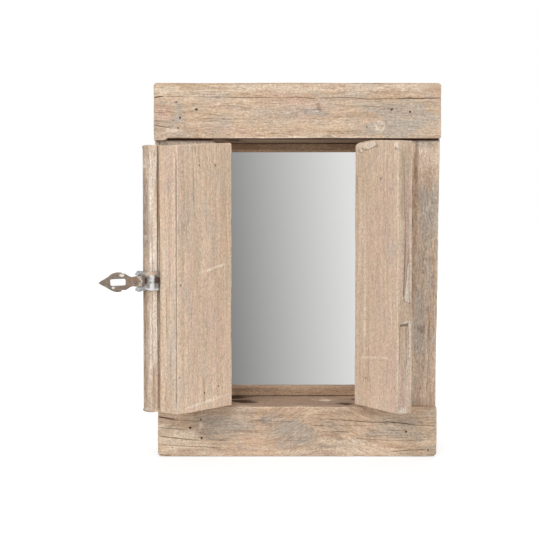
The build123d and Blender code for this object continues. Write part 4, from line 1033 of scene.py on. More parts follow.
# %% The right shutter
right_marks = [
    chip(BACK, -25, 325.0, 17, 6.5, 0.9, 0.7), chip(BACK, -14, 323.0, 8, 6, 0.9, 0.7),
    chip(BACK, -76, 323, 4, 4, 0.5, 1.0), saw_mark(BACK, (-66.2, 111.3), (-6, 106), 3.0, 0.7),
    patch(LEFT_END, 18, 60, 8, 5, PALE, 1.2), patch(BACK, -20, 200, 3, 120, PALE, 0.4, 0.9),
    patch(BACK, -68, 110, 10, 50, WARM, 0.8, 0.9), patch(BACK, -40, 240, 20, 45, WARM, 0.45),
    patch(BACK, -50, 150, 22, 40, GREY, 0.35), hole(BACK, -48, 290, 1.1), hole(BACK, -22, 86, 1.0),
    crack(BACK, Z, (-58, 180), (-57, 290), 0.6, 0.8, 1.0, 0.5), patch(LEFT_END, 16, 190, 14, 260, DIRT_AND_SHADE, 0.4, 0.25),
    patch(LEFT_END, 19, 270, 3, 60, DIRT_AND_SHADE, 0.5, 0.7), patch(LEFT_END, 13, 240, 4, 60, WARM, 0.9, 0.9),
    patch(LEFT_END, 18, 90, 5, 40, WARM, 1.0, 0.9),
    crack(LEFT_END, Z, (17.5, 300), (15.2, 232), 1.3, 0.7, 0.8, 0.5, gaps=0.9),
    crack(LEFT_END, Z, (15.6, 232), (17.4, 172), 1.5, 1.2, 0.5, 0.8, gaps=1.2),
    shard(LEFT_END, [(8.2, 168), (11.6, 168), (11.4, 262), (8.2, 262)], 0.2, PALE, 0.85),
    shard(LEFT_END, [(11.2, 167), (17.0, 169.5), (11.4, 212)], 0.2, PALE, 1.0, 0.7),
    shard(LEFT_END, [(8.2, 147.2), (21.0, 146.4), (21.0, 148.2), (8.2, 149.4)], 0.0, PALE, 0.9),
    shard(LEFT_END, [(11.6, 143.6), (21.4, 143.2), (21.4, 146.0), (11.6, 146.6)], 1.0, DIRT_AND_SHADE, 0.75),
    shard(LEFT_END, [(8.2, 112), (11.2, 111.4), (11.6, 147), (8.2, 147)], 0.0, PALE, 0.95, 0.6),
    crack(LEFT_END, Z, (14.4, 145), (13.0, 104), 1.4, 0.9, 0.6, 0.6, gaps=1.2),
    crack(LEFT_END, Z, (21.6, 146), (22.4, 104), 1.2, 0.8, 0.4, 0.5, gaps=0.9),
    # The narrow pale line along the free arris of the inner face is a painted highlight
    patch(LEFT_END, 13, 90, 3.5, 30, PALE, 0.5, 0.9), patch(BACK, -78.0, 290, 1.0, 40, PALE, 0.7, 0.3),
    crack(FRONT, Z, (-30, 90), (-31, 230), 0.8, 1.4, 1.2), crack(FRONT, Z, (-52, 200), (-50, 315), 0.7, 1.1, 1.2),
    patch(FRONT, -35, 190, 20, 70, GREY, 0.6), hole(FRONT, -20, 300, 1.1), hole(FRONT, -46, 110, 1.0)]
meeting_cut = pocket(Y, -1, MEETING_DEPTH, {X: (-RIGHT_FREE - 1, -RIGHT_FREE + MEETING_WIDTH), Z: (0, TOP_Z)})
right_head = crown_head(RIGHT_FOOT, RIGHT_HEAD, -1, RIGHT_FREE, crown=30, rise=1.8, fall=RIGHT_FALL,
                        round_long=9, round_high=4.2)
right_shutter = worn_timber("right_plank", (-RIGHT_FREE, 0, RIGHT_FOOT), (-HALF_GAP, THICK, RIGHT_HEAD), Z,
                            radii=PLANK_RADII, spacing=PLANK_ROWS, marks=right_marks,
                            pockets=[*hinge_seats("right", -1, PIN, 1.0), meeting_cut], seed=10, warp=right_head)
finish_piece(open_piece(right_shutter, "right"), PLANK_WOOD, "shutter_timber", "right_leaf", "right_shutter")

# %% [markdown]
# ## The cover strip
# The strip on the left shutter laps the right one when both are shut. It has a round nose, and its
# ends have been knocked round over the years. A bevel modifier would round all its arrises alike, so
# each arris gets its own radius here instead.

# %% Cover strip
NOSE, STRIP_WIDTH, STRIP_THICK = 97.55, 28.0, 13.0
STRIP_LOW, STRIP_HIGH = 56.7, 324.0
strip_marks = [
    crack(BACK, Z, (93, 70), (93.5, 250), 0.7, 0.9, 0.5, 0.6),
    # The pale band on the underside of the overhang is a painted highlight on its rounding
    crack(RIGHT_END, Z, (-7.5, 70), (-7, 150), 0.6, 0.8, 0.5), patch(BACK, 91, 215, 8, 170, PALE, 0.8, 0.5),
    patch(RIGHT_END, -7, 190, 9, 300, DIRT_AND_SHADE, 0.27, 0.4), patch(RIGHT_END, -9, 190, 5, 150, WARM, 0.75, 0.7),
    # The dark line where the strip meets the edge of the plank is painted shade in the joint
    patch(RIGHT_END, -5, 260, 4, 50, GREY, 0.8, 0.8), patch(BACK, 86.0, 190, 1.25, 220, DIRT_AND_SHADE, 1.15, 0.2),
    crack(FRONT, Z, (80, 90), (81, 260), 0.7, 1.0, 0.8), chip(RIGHT_END, -5, 60, 4, 3.5, 1.4, 0.5, 0.2),
    chip(RIGHT_END, -6, 232, 3, 4, 0.8, 0.5), chip(RIGHT_END, -7, 302, 2.5, 3, 0.7, 0.5)]
strip_corners = [(X, HIGH_END, Y, LOW_END, 5.0), (X, HIGH_END, Y, HIGH_END, 3.0), (X, LOW_END, Y, LOW_END, 6.0),
                 (X, HIGH_END, Z, LOW_END, 2.5), (X, HIGH_END, Z, HIGH_END, 2.5)]
strip = worn_timber("cover_strip", (NOSE - STRIP_WIDTH, -STRIP_THICK, STRIP_LOW), (NOSE, 0, STRIP_HIGH), Z,
                    radii=(0.9, 0.9, 1.2), spacing=1.3, marks=strip_marks, seed=15, corners=strip_corners)
finish_piece(open_piece(strip, "left"), STRIP_WOOD, "astragal_timber", "left_leaf", "astragal")

# %% [markdown]
# ## The slips
# Four narrow strips hold the glass from the front. They were stained dark and never bleached, so they
# frame the mirror with a thin brown line. Each has a small bevel towards the glass, which is cut by
# moving points onto a slanted plane, as a hand plane does.

# %% Slips
SLIP_Y, GLASS_Y, BEVEL = 32.5, 40.5, 2.0
TOP_SLIP, BOTTOM_SLIP, SIDE_SLIP = 9.0, 10.0, 10.0


def bevel_edge(axis, sign, edge):
    """Cuts a flat bevel along the front edge that faces the glass."""
    def shape(points):
        over = (sign * (points[:, axis] - edge) + (SLIP_Y - points[:, Y]) + BEVEL) / 2
        over = np.maximum(over, 0)
        points[:, axis] -= sign * over
        points[:, Y] += over
        return points
    return shape


low_z, high_z = SILL_Z + BOTTOM_SLIP, HEAD_Z - TOP_SLIP
left_in, right_in = LEFT_X + SIDE_SLIP, RIGHT_X - SIDE_SLIP
for title, grain, low, high, warp in (
        ("top_slip", X, (LEFT_X, SLIP_Y, high_z), (RIGHT_X, GLASS_Y, HEAD_Z), bevel_edge(Z, -1, high_z)),
        ("bottom_slip", X, (LEFT_X, SLIP_Y, SILL_Z), (RIGHT_X, GLASS_Y, low_z), bevel_edge(Z, 1, low_z)),
        ("left_slip", Z, (LEFT_X, SLIP_Y, low_z), (left_in, GLASS_Y, high_z), bevel_edge(X, 1, left_in)),
        ("right_slip", Z, (right_in, SLIP_Y, low_z), (RIGHT_X, GLASS_Y, high_z), bevel_edge(X, -1, right_in))):
    made = worn_timber("stained_" + title, low, high, grain, radii=(0.5, 0.5, 0.5), spacing=1.2, seed=20,
                       wear=0.3, warp=warp)
    finish_piece(made, SLIP_WOOD if grain == X else SLIP_WOOD_UPRIGHT, "slip_timber", "window_frame", title)

# %% [markdown]
# ## Forged iron
# The hasp is hand-forged wrought iron. The hammer left shallow flats, the scale went brown and grey,
# and where the wood was limewashed some of the wash stayed on the metal as a pale bluish bloom. Orange
# rust breaks through in specks. The bluish edges of the strap and some bright places are painted
# highlights. All of it is dull: old scale scatters light like stone does. Specks and pits are about a
# millimetre wide here, twice as coarse as life, so that they show in the render.

# %% Iron material
HAMMER_FLAT, RUST_SPECK, BLOOM_SIZE, PIT_SIZE = 6.0, 1.2, 7.0, 0.9
IRON_DIRT = "#2e2019"


def forged_iron(name, scale_colour, dark, rust, bloom, bloom_share, rust_share, metal=0.2, scraped="#e6dcd0",
                washed=None):
    """Old wrought iron: dark and light scale, a chalky bloom, rust specks, and bright scraped places. Some bloom and
    bright places are painted highlights.
    """
    material, tree, output = new_material(name)
    place = add(tree, "ShaderNodeTexCoord").outputs["Object"]
    marks = add(tree, "ShaderNodeAttribute", attribute_name="marks")
    darkening, bright, bloom_and_glint = add(tree, "ShaderNodeSeparateColor", {"Color": marks.outputs["Color"]}).outputs[:3]
    warmed = marks.outputs["Alpha"]
    grains = {}
    for title, size, detail in (("scale", BLOOM_SIZE * 0.6, 4.0), ("bloom", BLOOM_SIZE, 5.0),
                                ("specks", RUST_SPECK, 3.0), ("pits", PIT_SIZE, 3.0)):
        grains[title] = add(tree, "ShaderNodeTexNoise", {"Vector": place, "Scale": 1 / (size * MM),
                                                         "Detail": detail, "Roughness": 0.6}).outputs["Fac"]
    near_rust = add(tree, "ShaderNodeMath", {0: warmed, 1: 0.13, 2: grains["specks"]}, operation="MULTIPLY_ADD")

    # How much each kind of scale covers, from the part of its noise that counts
    shares = {}
    for title, grain, low, high, most in (
            ("dark", grains["scale"], 0.35, 0.65, 1.0),
            ("bloom", grains["bloom"], 0.62 - bloom_share, 0.80 - bloom_share * 0.6, 1.0),
            ("rust", near_rust.outputs[0], 0.66 - rust_share, 0.74 - rust_share, 0.85)):
        shares[title] = add(tree, "ShaderNodeMapRange", {"Value": grain, "From Min": low, "From Max": high,
                                                         "To Max": most}).outputs[0]
    coats = [(shares["dark"], dark), (shares["bloom"], bloom), (bloom_and_glint, bloom), (shares["rust"], rust),
             (bright, scraped)]
    if washed:
        coats.append((warmed, washed))
    coats.append((darkening, IRON_DIRT))
    colour = linear(scale_colour)
    for share, tone in coats:
        colour = add(tree, "ShaderNodeMix", {0: share, 6: colour, 7: linear(tone)}, data_type="RGBA").outputs[2]

    flats = add(tree, "ShaderNodeTexVoronoi", {"Vector": place, "Scale": 1 / (HAMMER_FLAT * MM)},
                feature="SMOOTH_F1")
    height = add(tree, "ShaderNodeMath", {0: grains["pits"], 1: flats.outputs["Distance"]}, operation="ADD")
    bump = add(tree, "ShaderNodeBump", {"Strength": 0.6, "Distance": 0.35 * MM, "Height": height.outputs[0]})
    rough = add(tree, "ShaderNodeMapRange", {"Value": grains["pits"], "From Min": 0.3, "From Max": 0.7,
                                             "To Min": 0.55, "To Max": 0.8})
    # Scale and rust are oxides, so far less of the surface is metallic than on bare iron
    shader = add(tree, "ShaderNodeBsdfPrincipled", {"Base Color": colour, "Roughness": rough.outputs[0],
                                                    "Metallic": metal, "Normal": bump.outputs[0]})
    tree.links.new(shader.outputs[0], output.inputs["Surface"])
    return material


STRAP_IRON = forged_iron("forged_iron_scale", "#897b6c", dark="#6c5f53", rust="#99694a", bloom="#a9b4bd",
                         bloom_share=0.0, rust_share=0.03)
CLIP_IRON = forged_iron("forged_iron_limewashed", "#9a948e", dark="#776c62", rust="#8e5a38", bloom="#abafb2",
                        bloom_share=0.08, rust_share=0.06, scraped="#dcdedf", washed="#c5b09c")
NAIL_IRON = forged_iron("rusty_nail_iron", "#4a352a", dark="#2d211b", rust="#6e4327", bloom="#6a5c54",
                        bloom_share=0.0, rust_share=0.06)
HINGE_STEEL = forged_iron("dulled_zinc_steel", "#9b9a97", dark="#7f7c78", rust="#7c6a58", bloom="#b8babb",
                          bloom_share=0.08, rust_share=-0.05, metal=0.8)
print("irons", [m.name for m in (STRAP_IRON, CLIP_IRON, NAIL_IRON, HINGE_STEEL)])

# %% [markdown]
# ## The strap of the hasp
# The strap is a leaf with a long slot in it. Its mesh runs round the slot as a ring: at each step round
# the ring, a closed loop of points goes from the slot's edge over the front to the outer edge and back
# underneath. So both edges can be rounded and uneven, as the hammer and the file left them. Cutting the
# slot with a boolean would be quicker, but its edge would stay sharp.

# %% Outline of the strap
AXIS_X, AXIS_Y, HASP_Z = -158.295, -114.342, 188.5
KNUCKLE_RADIUS, KNUCKLE_HALF_HEIGHT = 3.2, 5.4
STRAP_THICK, STRAP_ARRIS, DROOP = 2.0, 0.45, 2.5
SLOT_START, SLOT_END, SLOT_HALF = 13.3, 28.5, 3.25
UPPER_EDGE = [(-4.0, 0.0), (-2.6, 1.5), (-1.2, 3.1), (0.3, 4.7), (1.6, 5.3), (3.4, 5.2), (5.4, 4.9), (7.2, 4.9),
              (9.2, 5.5), (11.3, 6.8), (13.8, 8.4), (17.0, 9.5), (20.7, 9.95), (24.5, 9.4), (28.0, 7.9), (30.9, 5.9),
              (33.5, 4.3), (35.8, 3.1), (38.2, 1.8), (40.2, 0.2)]


def through(points, count):
    """A smooth line through points, cut into even steps. Each cubic leaves a point towards its neighbours."""
    points = np.array(points, float)
    ends = np.vstack([2 * points[0] - points[1], points, 2 * points[-1] - points[-2]])
    pieces = []
    for index in range(1, len(ends) - 2):
        a, b, c, d = ends[index - 1:index + 3]
        t = np.linspace(0, 1, 12, endpoint=False)[:, None]
        pieces.append(0.5 * (2 * b + (c - a) * t + (2 * a - 5 * b + 4 * c - d) * t ** 2
                             + (3 * b - a - 3 * c + d) * t ** 3))
    line = np.vstack([*pieces, points[-1:]])
    way = np.concatenate([[0], np.cumsum(np.linalg.norm(np.diff(line, axis=0), axis=1))])
    even = np.linspace(0, way[-1], count)
    return np.column_stack([np.interp(even, way, line[:, axis]) for axis in (0, 1)])


def strap_outline(count):
    """The outer edge, once round from the tail over the upper side, with the nicks that the photo shows."""
    upper = through(UPPER_EDGE, count)
    upper[:, 1] -= 1.0 * np.exp(-((upper[:, 0] - 15.6) / 0.9) ** 2)
    lower = through([(x, -y * 1.01) for x, y in UPPER_EDGE], count)
    lower[:, 1] += 1.3 * np.exp(-((lower[:, 0] - 16.2) / 1.6) ** 2)
    return np.vstack([upper[:-1], lower[::-1][:-1]])


def slot_outline(outer):
    """A slot with barrel sides, its points facing those of the outer edge."""
    middle = (SLOT_START + SLOT_END) / 2
    half = (SLOT_END - SLOT_START) / 2
    angle = np.arctan2(outer[:, 1] / SLOT_HALF, (outer[:, 0] - middle) / half)
    power = 2 / 7
    x = middle + half * np.sign(np.cos(angle)) * np.abs(np.cos(angle)) ** power
    y = SLOT_HALF * np.sign(np.sin(angle)) * np.abs(np.sin(angle)) ** power
    return np.column_stack([x, y])


outer = strap_outline(110)
uneven = 1 + noise(face_points(*outer.T), (3, 3, 1), 40)
outer -= 0.18 * uneven[:, None] * np.sign(outer) * [0.3, 1]
print("the strap is", outer.max(axis=0).round(1), "by", outer.min(axis=0).round(1), "mm round its pin")

# %% A plate with a slot
def ring_plate(inner, outer, thick, arris):
    """Points and faces of a plate between two closed outlines. Z is its thickness, from 0 to thick."""
    half = thick / 2
    turn = np.linspace(0, math.pi / 2, 4)
    shares = np.linspace(0, 1, 9)
    count = len(inner)
    gap = np.linalg.norm(outer - inner, axis=1)[:, None]
    way = (outer - inner) / gap
    near = [(arris * (1 - math.sin(a)), half - arris * (1 - math.cos(a)), 0.0) for a in turn[::-1]]
    flat = [(arris * (1 - 2 * s), half, s) for s in shares[1:-1]]
    far = [(-arris * (1 - math.sin(a)), half - arris * (1 - math.cos(a)), 1.0) for a in turn]
    profile = near + flat + far
    loops = profile + [(shift, -height, share) for shift, height, share in profile[::-1]]
    points = []
    for shift, height, share in loops:
        edge = share in (0.0, 1.0)
        place = inner + way * (gap * share + np.sign(0.5 - share) * abs(shift) * edge)
        points.append(np.column_stack([place, np.full(count, half + height)]))
    points = np.stack(points, 1)
    across = points.shape[1]
    number = np.arange(count * across).reshape(count, across)
    following = np.roll(number, -1, axis=0)
    quads = joined(number, following, np.roll(following, -1, axis=1), np.roll(number, -1, axis=1))
    return points.reshape(-1, 3), quads


def place_strap(points):
    """From the strap's own length, height and thickness to its place across the front."""
    droop = math.radians(DROOP)
    length = points[:, X] * math.cos(droop) + points[:, Y] * math.sin(droop)
    height = points[:, Y] * math.cos(droop) - points[:, X] * math.sin(droop)
    return np.column_stack([AXIS_X - length, AXIS_Y - KNUCKLE_RADIUS + points[:, Z], HASP_Z + height])


points, quads = ring_plate(slot_outline(outer), outer, STRAP_THICK, STRAP_ARRIS)
rim = 1 - smooth(0.66, 0.97, np.abs(points[:, Z] - STRAP_THICK / 2))
dents = 0.16 * (1 + noise(points, (5, 5, 50), 42)) + 0.07 * (1 + noise(points, (1.3, 1.3, 50), 43))
points[:, Z] += np.where(points[:, Z] < STRAP_THICK / 2, dents, -dents)
print("strap", len(points), "points")

# %% Bright and rusty places of the strap, and painted highlights on its edges
SCRAPES = (((17.0, 6.6), (2.6, 1.7)), ((25.9, -5.2), (1.9, 1.4)), ((15.8, -8.4), (2.4, 0.9)))

tone = np.zeros((len(points), 4))
for place, reach in SCRAPES:
    far = np.hypot((points[:, X] - place[0]) / reach[0], (points[:, Y] - place[1]) / reach[1])
    scraped = 1 - smooth(0.6, 1.1, far + 0.3 * noise(points, (1, 1, 9), 44))
    tone[:, PALE] = np.maximum(tone[:, PALE], 0.9 * scraped)
tone[:, WARM] = 0.9 * (1 - smooth(9, 13.5, points[:, X]))
# The bluish bloom on the rounded edges and the pale line round the tail are painted highlights
tone[:, GREY] = 0.9 * rim
to_edge = np.sqrt(((points[:, None, :2] - outer[None]) ** 2).sum(2)).min(1)
tail_glint = (1 - smooth(0.55, 1.0, to_edge)) * (1 - smooth(0.2, 1.6, points[:, X]))
tone[:, PALE] = np.maximum(tone[:, PALE], 0.7 * tail_glint)
strap = put("hasp_leaf", build_mesh("hasp_leaf", place_strap(points), quads, tone))
finish_piece(strap, STRAP_IRON, "old_iron", "hasp", "hasp_strap")
print("bright places", len(SCRAPES))

# %% [markdown]
# ## Round bars
# The knuckle of the strap and the pin through it are round bars, cut to length and hammered. A cylinder
# with a bevel would be too true, so rings of points are stacked up, dented by noise, and drawn in at
# both ends over the arris until they close.

# %% A round bar with dents
BAR_POINTS, BAR_RINGS = 40, 14


def round_bar(name, radius, low, high, centre, seed, dent=0.12, pale=0.3):
    """A forged round bar, upright, closed at both ends by rings that shrink to its middle."""
    around = np.linspace(0, 2 * math.pi, BAR_POINTS, endpoint=False)
    levels = [(0.02, 0), (0.55, 0), (0.85, 0), (0.96, 0.12), (1.0, 0.4)]
    steps = np.linspace(low, high, BAR_RINGS)[1:-1]
    rings = [*[(share, low + rise) for share, rise in levels], *[(1.0, level) for level in steps],
             *[(share, high - rise) for share, rise in levels[::-1]]]
    points = np.array([[centre[0] + radius * share * math.cos(a), centre[1] + radius * share * math.sin(a), z]
                       for share, z in rings for a in around])
    out = np.column_stack([points[:, X] - centre[0], points[:, Y] - centre[1], points[:, Z] * 0]) / radius
    points -= out * (dent * (1 + noise(points, (2.5, 2.5, 2.5), seed)))[:, None]
    number = np.arange(len(points)).reshape(len(rings), len(around))
    following = np.roll(number, -1, axis=1)
    tone = np.zeros((len(points), 4))
    tone[:, PALE] = pale
    print(name, len(points), "points")
    return put(name, build_mesh(name, points, joined(number[:-1], following[:-1], following[1:], number[1:]), tone))


knuckle = round_bar("hasp_leaf_knuckle", KNUCKLE_RADIUS, HASP_Z - KNUCKLE_HALF_HEIGHT,
                    HASP_Z + KNUCKLE_HALF_HEIGHT, (AXIS_X, AXIS_Y), 44)
finish_piece(knuckle, STRAP_IRON, "old_iron", "hasp", "hasp_strap")

# %% [markdown]
# ## The clip of the hasp
# The clip is a flat iron strip bent round the nose of the cover strip. It starts as a straight block
# here too, and is then bent by the same three arcs that the nose has, so it lies on the wood all round.
# A curve with a flat profile could do the bend, but not the marks, which follow the strip's length.

# %% Bend the clip
CLIP_THICK, CLIP_GAP, CLIP_HEIGHT, CLIP_LEG = 1.5, 0.05, 19.4, 18.0
NOSE_RADIUS, INNER_RADIUS = 5.0, 3.0
arc_1 = math.pi / 2 * NOSE_RADIUS
web = STRIP_THICK - NOSE_RADIUS - INNER_RADIUS
arc_2 = math.pi / 2 * INNER_RADIUS
inner_leg = NOSE - INNER_RADIUS - (LEFT_FREE + CLIP_GAP)
CLIP_WAY = CLIP_LEG + arc_1 + web + arc_2 + inner_leg


def bend_clip(points):
    """Bends a straight block, its length along X and its thickness along -Y, round the nose."""
    s, t, z = points[:, X], -points[:, Y] + CLIP_GAP, points[:, Z]
    a, b = np.zeros(len(s)), np.zeros(len(s))
    on = s <= CLIP_LEG
    a[on], b[on] = NOSE - NOSE_RADIUS - CLIP_LEG + s[on], -STRIP_THICK - t[on]
    u = (s - CLIP_LEG) / NOSE_RADIUS
    on = (s > CLIP_LEG) & (u <= math.pi / 2)
    a[on] = NOSE - NOSE_RADIUS + (NOSE_RADIUS + t[on]) * np.sin(u[on])
    b[on] = -STRIP_THICK + NOSE_RADIUS - (NOSE_RADIUS + t[on]) * np.cos(u[on])
    v = s - CLIP_LEG - arc_1
    on = (v > 0) & (v <= web)
    a[on], b[on] = NOSE + t[on], -STRIP_THICK + NOSE_RADIUS + v[on]
    w = (v - web) / INNER_RADIUS
    on = (w > 0) & (w <= math.pi / 2)
    a[on] = NOSE - INNER_RADIUS + (INNER_RADIUS + t[on]) * np.cos(w[on])
    b[on] = -INNER_RADIUS + (INNER_RADIUS + t[on]) * np.sin(w[on])
    r = v - web - arc_2
    on = r > 0
    a[on], b[on] = NOSE - INNER_RADIUS - r[on], t[on]
    return np.column_stack([a, b, z])


def bent(points):
    """The web is a little narrower at its middle, as iron is where it has been drawn round a corner."""
    middle = CLIP_LEG + arc_1 + web / 2
    pinch = 1 - 0.14 * np.exp(-((points[:, X] - middle) / 3.2) ** 2)
    points[:, Z] = HASP_Z + (points[:, Z] - HASP_Z) * pinch
    return bend_clip(points)


print("the clip is", round(CLIP_WAY, 1), "mm long when straight")

# %% Marks of the clip
WEB_BRIGHT = 35.2


def rust_film(s, z, half_s, half_z, strength):
    """A thin dark film of rust on the clip."""
    return patch(FRONT, s, z, half_s, half_z, DIRT_AND_SHADE, strength, 0.5)


def hourglass(u, v, seed):
    """The bright web of the clip, narrow at its middle, worn bright and painted as a highlight where it bends, and
    its bright lower lip.
    """
    rise = np.abs(v - HASP_Z + 0.5) / (CLIP_HEIGHT / 2)
    half = 1.5 + 1.6 * rise ** 1.6
    off = np.abs(u - WEB_BRIGHT) / half + 0.25 * noise(face_points(u, v), (1.6, 1.6, 1), seed)
    lip = (1 - smooth(0.3, 1.4, np.abs(v - HASP_Z + CLIP_HEIGHT / 2 - 1.2))) * (u > WEB_BRIGHT - 7)
    # The bright hourglass is worn metal with a painted highlight on the bend
    worn = (1 - smooth(0.75, 1.1, off)) * (1 - smooth(5.6, 7.6, v - HASP_Z))
    return u * 0, {PALE: np.maximum(0.95 * worn, 0.9 * lip)}


clip_marks = [
    mark(FRONT, [], hourglass), patch(FRONT, 25.0, HASP_Z, 4, 12, WARM, 0.5, 0.6),
    rust_film(30.8, HASP_Z + 1, 2.0, 6, 0.42), rust_film(43.0, HASP_Z - 2, 2.6, 12, 0.65),
    rust_film(39.2, HASP_Z + 2, 2.0, 6, 0.5), patch(FRONT, 33, HASP_Z + 8.4, 9, 2.6, WARM, 1.0, 0.5),
    patch(FRONT, 28, HASP_Z - 7, 3, 3, PALE, 0.7, 0.6)]
clip_top, clip_foot = HASP_Z + CLIP_HEIGHT / 2, HASP_Z - CLIP_HEIGHT / 2
clip = worn_timber("hasp_clip", (0, -CLIP_THICK, clip_foot), (CLIP_WAY, 0, clip_top), X, radii=(0.5, 0.45, 0.5),
                   spacing=0.7, marks=clip_marks, seed=50, wear=0.25, warp=bent)
finish_piece(open_piece(clip, "left"), CLIP_IRON, "old_iron", "left_leaf", "hasp_saddle")

# %% Ears of the clip
EAR_END, EAR_HALF, EAR_THICK, EAR_ROUND = 4.4, 3.2, 4.0, 3.0
AXIS_A, AXIS_B = NOSE + CLIP_THICK + 5.5, -8.0
middle = (NOSE + AXIS_A + EAR_END) / 2
for title, level, outer_end in (("upper", clip_top - EAR_THICK, HIGH_END), ("lower", clip_foot, LOW_END)):
    ear_marks = [patch(RIGHT_END, AXIS_B, level + 2, 6, 4, GREY, 0.8, 0.5),
                 patch(BACK, middle, level + 2, 8, 4, GREY, 0.7, 0.6)]
    ear = worn_timber("hasp_ear_" + title, (NOSE + 0.3, AXIS_B - EAR_HALF, level),
                      (AXIS_A + EAR_END, AXIS_B + EAR_HALF, level + EAR_THICK), X, radii=(0.6, 0.6, 0.6),
                      spacing=0.5, marks=ear_marks, seed=52, wear=0.3,
                      corners=[(X, HIGH_END, Y, LOW_END, EAR_ROUND), (X, HIGH_END, Y, HIGH_END, EAR_ROUND),
                               (X, HIGH_END, Z, outer_end, EAR_ROUND)])
    finish_piece(open_piece(ear, "left"), CLIP_IRON, "old_iron", "left_leaf", "hasp_saddle")

# %% [markdown]
# ## Nails and pin of the clip
# The clip is held by square nails with flat hammered heads, and its pin was riveted over at both ends.
# A nail head is a small worn block with its corners pulled in, which says hammer where a plain block
# would say machine.

# %% The nails of the clip
NAIL_HEAD, NAIL_HALF, NAIL_APART = 0.8, 2.25, 4.85
SUNK = 0.3


def hammered(low, high, thin):
    """Pulls in the corners of a nail head and makes its outline uneven. thin is the axis it is thin along."""
    middle, half = (np.array(low) + high) / 2, (np.array(high) - low) / 2
    first, second = [axis for axis in (X, Y, Z) if axis != thin]

    def shape(points):
        off = (points - middle) / half
        pull = 1 - 0.2 * np.abs(off[:, first] * off[:, second]) - 0.08 * (1 + noise(points, (2.4, 2.4, 2.4), 71))
        for axis in (first, second):
            points[:, axis] = middle[axis] + off[:, axis] * half[axis] * pull
        return points
    return shape


skin_out = CLIP_THICK + CLIP_GAP
nail_heads = [((NOSE + skin_out - SUNK, -6.0, HASP_Z - 3.6), (NOSE + skin_out + NAIL_HEAD, -1.9, HASP_Z + 4.4)),
              ((85.0, skin_out, HASP_Z - 2.8), (93.2, skin_out + NAIL_HEAD, HASP_Z + 4.8))]
outer_x = NOSE - NOSE_RADIUS - CLIP_LEG / 2
for rise in (-NAIL_APART, NAIL_APART):
    nail_heads.append(((outer_x - NAIL_HALF, -STRIP_THICK - skin_out - NAIL_HEAD, HASP_Z + rise - NAIL_HALF),
                       (outer_x + NAIL_HALF, -STRIP_THICK - skin_out, HASP_Z + rise + NAIL_HALF)))
for order, (low, high) in enumerate(nail_heads):
    thin, radii = (Y, (0.7, 0.35, 0.9)) if order else (X, (0.35, 0.7, 0.9))
    head = worn_timber("clip_nail_" + str(order), low, high, X, radii=radii, spacing=0.5, seed=60 + order,
                       wear=0.25, warp=hammered(low, high, thin))
    finish_piece(open_piece(head, "left"), NAIL_IRON, "nail_iron", "left_leaf", "hasp_saddle_nails")

# %% The pin of the clip
PIN_HEAD, PIN_SHANK, PIN_RISE, PIN_SUNK = 2.4, 1.6, 0.6, 0.6
for title, radius, low, high, seed, dent in (
        ("hasp_pin_bar", PIN_HEAD, clip_top - PIN_SUNK, clip_top + PIN_RISE, 65, 0.08),
        ("hasp_pin_foot", PIN_HEAD, clip_foot - PIN_RISE, clip_foot + PIN_SUNK, 66, 0.08),
        ("hasp_pin_shank", PIN_SHANK, clip_foot, clip_top, 67, 0.0)):
    made = round_bar(title, radius, low, high, (AXIS_A, AXIS_B), seed, dent)
    finish_piece(open_piece(made, "left"), CLIP_IRON, "old_iron", "left_leaf", "hasp_pin")

# %% [markdown]
# ## The staple
# The staple is a square bar bent to an eye and driven into the right shutter. When both shutters are
# shut, the slot of the strap drops over it and a peg goes through. Like the clip it is drawn straight
# and then bent, so the bar keeps its section all the way round.

# %% Staple
BAR, STAPLE_OUT, STAPLE_RISE, STAPLE_BITE = 3.2, 13.2, 19.0, 0.6
STAPLE_FROM_PIVOT, STAPLE_DROP = 41.82, -0.931
legs = (STAPLE_OUT - BAR) / 2
straight = STAPLE_RISE - BAR / 2 - legs
STAPLE_WAY = 2 * (straight + STAPLE_BITE) + math.pi * legs
STAPLE_Z = HASP_Z + STAPLE_DROP


def bend_staple(points):
    """Bends a straight bar, its length along X, to two legs and a half circle."""
    s, side, z = points[:, X], points[:, Y], points[:, Z]
    first = straight + STAPLE_BITE
    angle = np.clip((s - first) / legs, 0, math.pi)
    reach = legs + side
    over = np.maximum(s - first - math.pi * legs, 0)
    a = -STAPLE_FROM_PIVOT - np.cos(angle) * reach
    b = STAPLE_BITE - np.minimum(s, first) - np.sin(angle) * reach + over
    return np.column_stack([a, b, z])


staple = worn_timber("staple_bar", (0, -BAR / 2, STAPLE_Z - BAR / 2), (STAPLE_WAY, BAR / 2, STAPLE_Z + BAR / 2), X,
                     radii=(0.5, 0.55, 0.55), spacing=0.8, seed=70, wear=0.25, warp=bend_staple)
finish_piece(open_piece(staple, "right"), STRAP_IRON, "old_iron", "right_leaf", "hasp_staple")

# %% [markdown]
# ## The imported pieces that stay
# Hinges, nails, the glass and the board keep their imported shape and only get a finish, because at this
# size nothing more of them would show. The mirror is float glass silvered behind: one clean reflection,
# a little soft at the old edges. The board is thin poplar ply.

# %% Mirror and board
HAZE_SIZE = 40.0
FIGURE_WIDTH, FIGURE_LENGTH = 6.0, 90.0


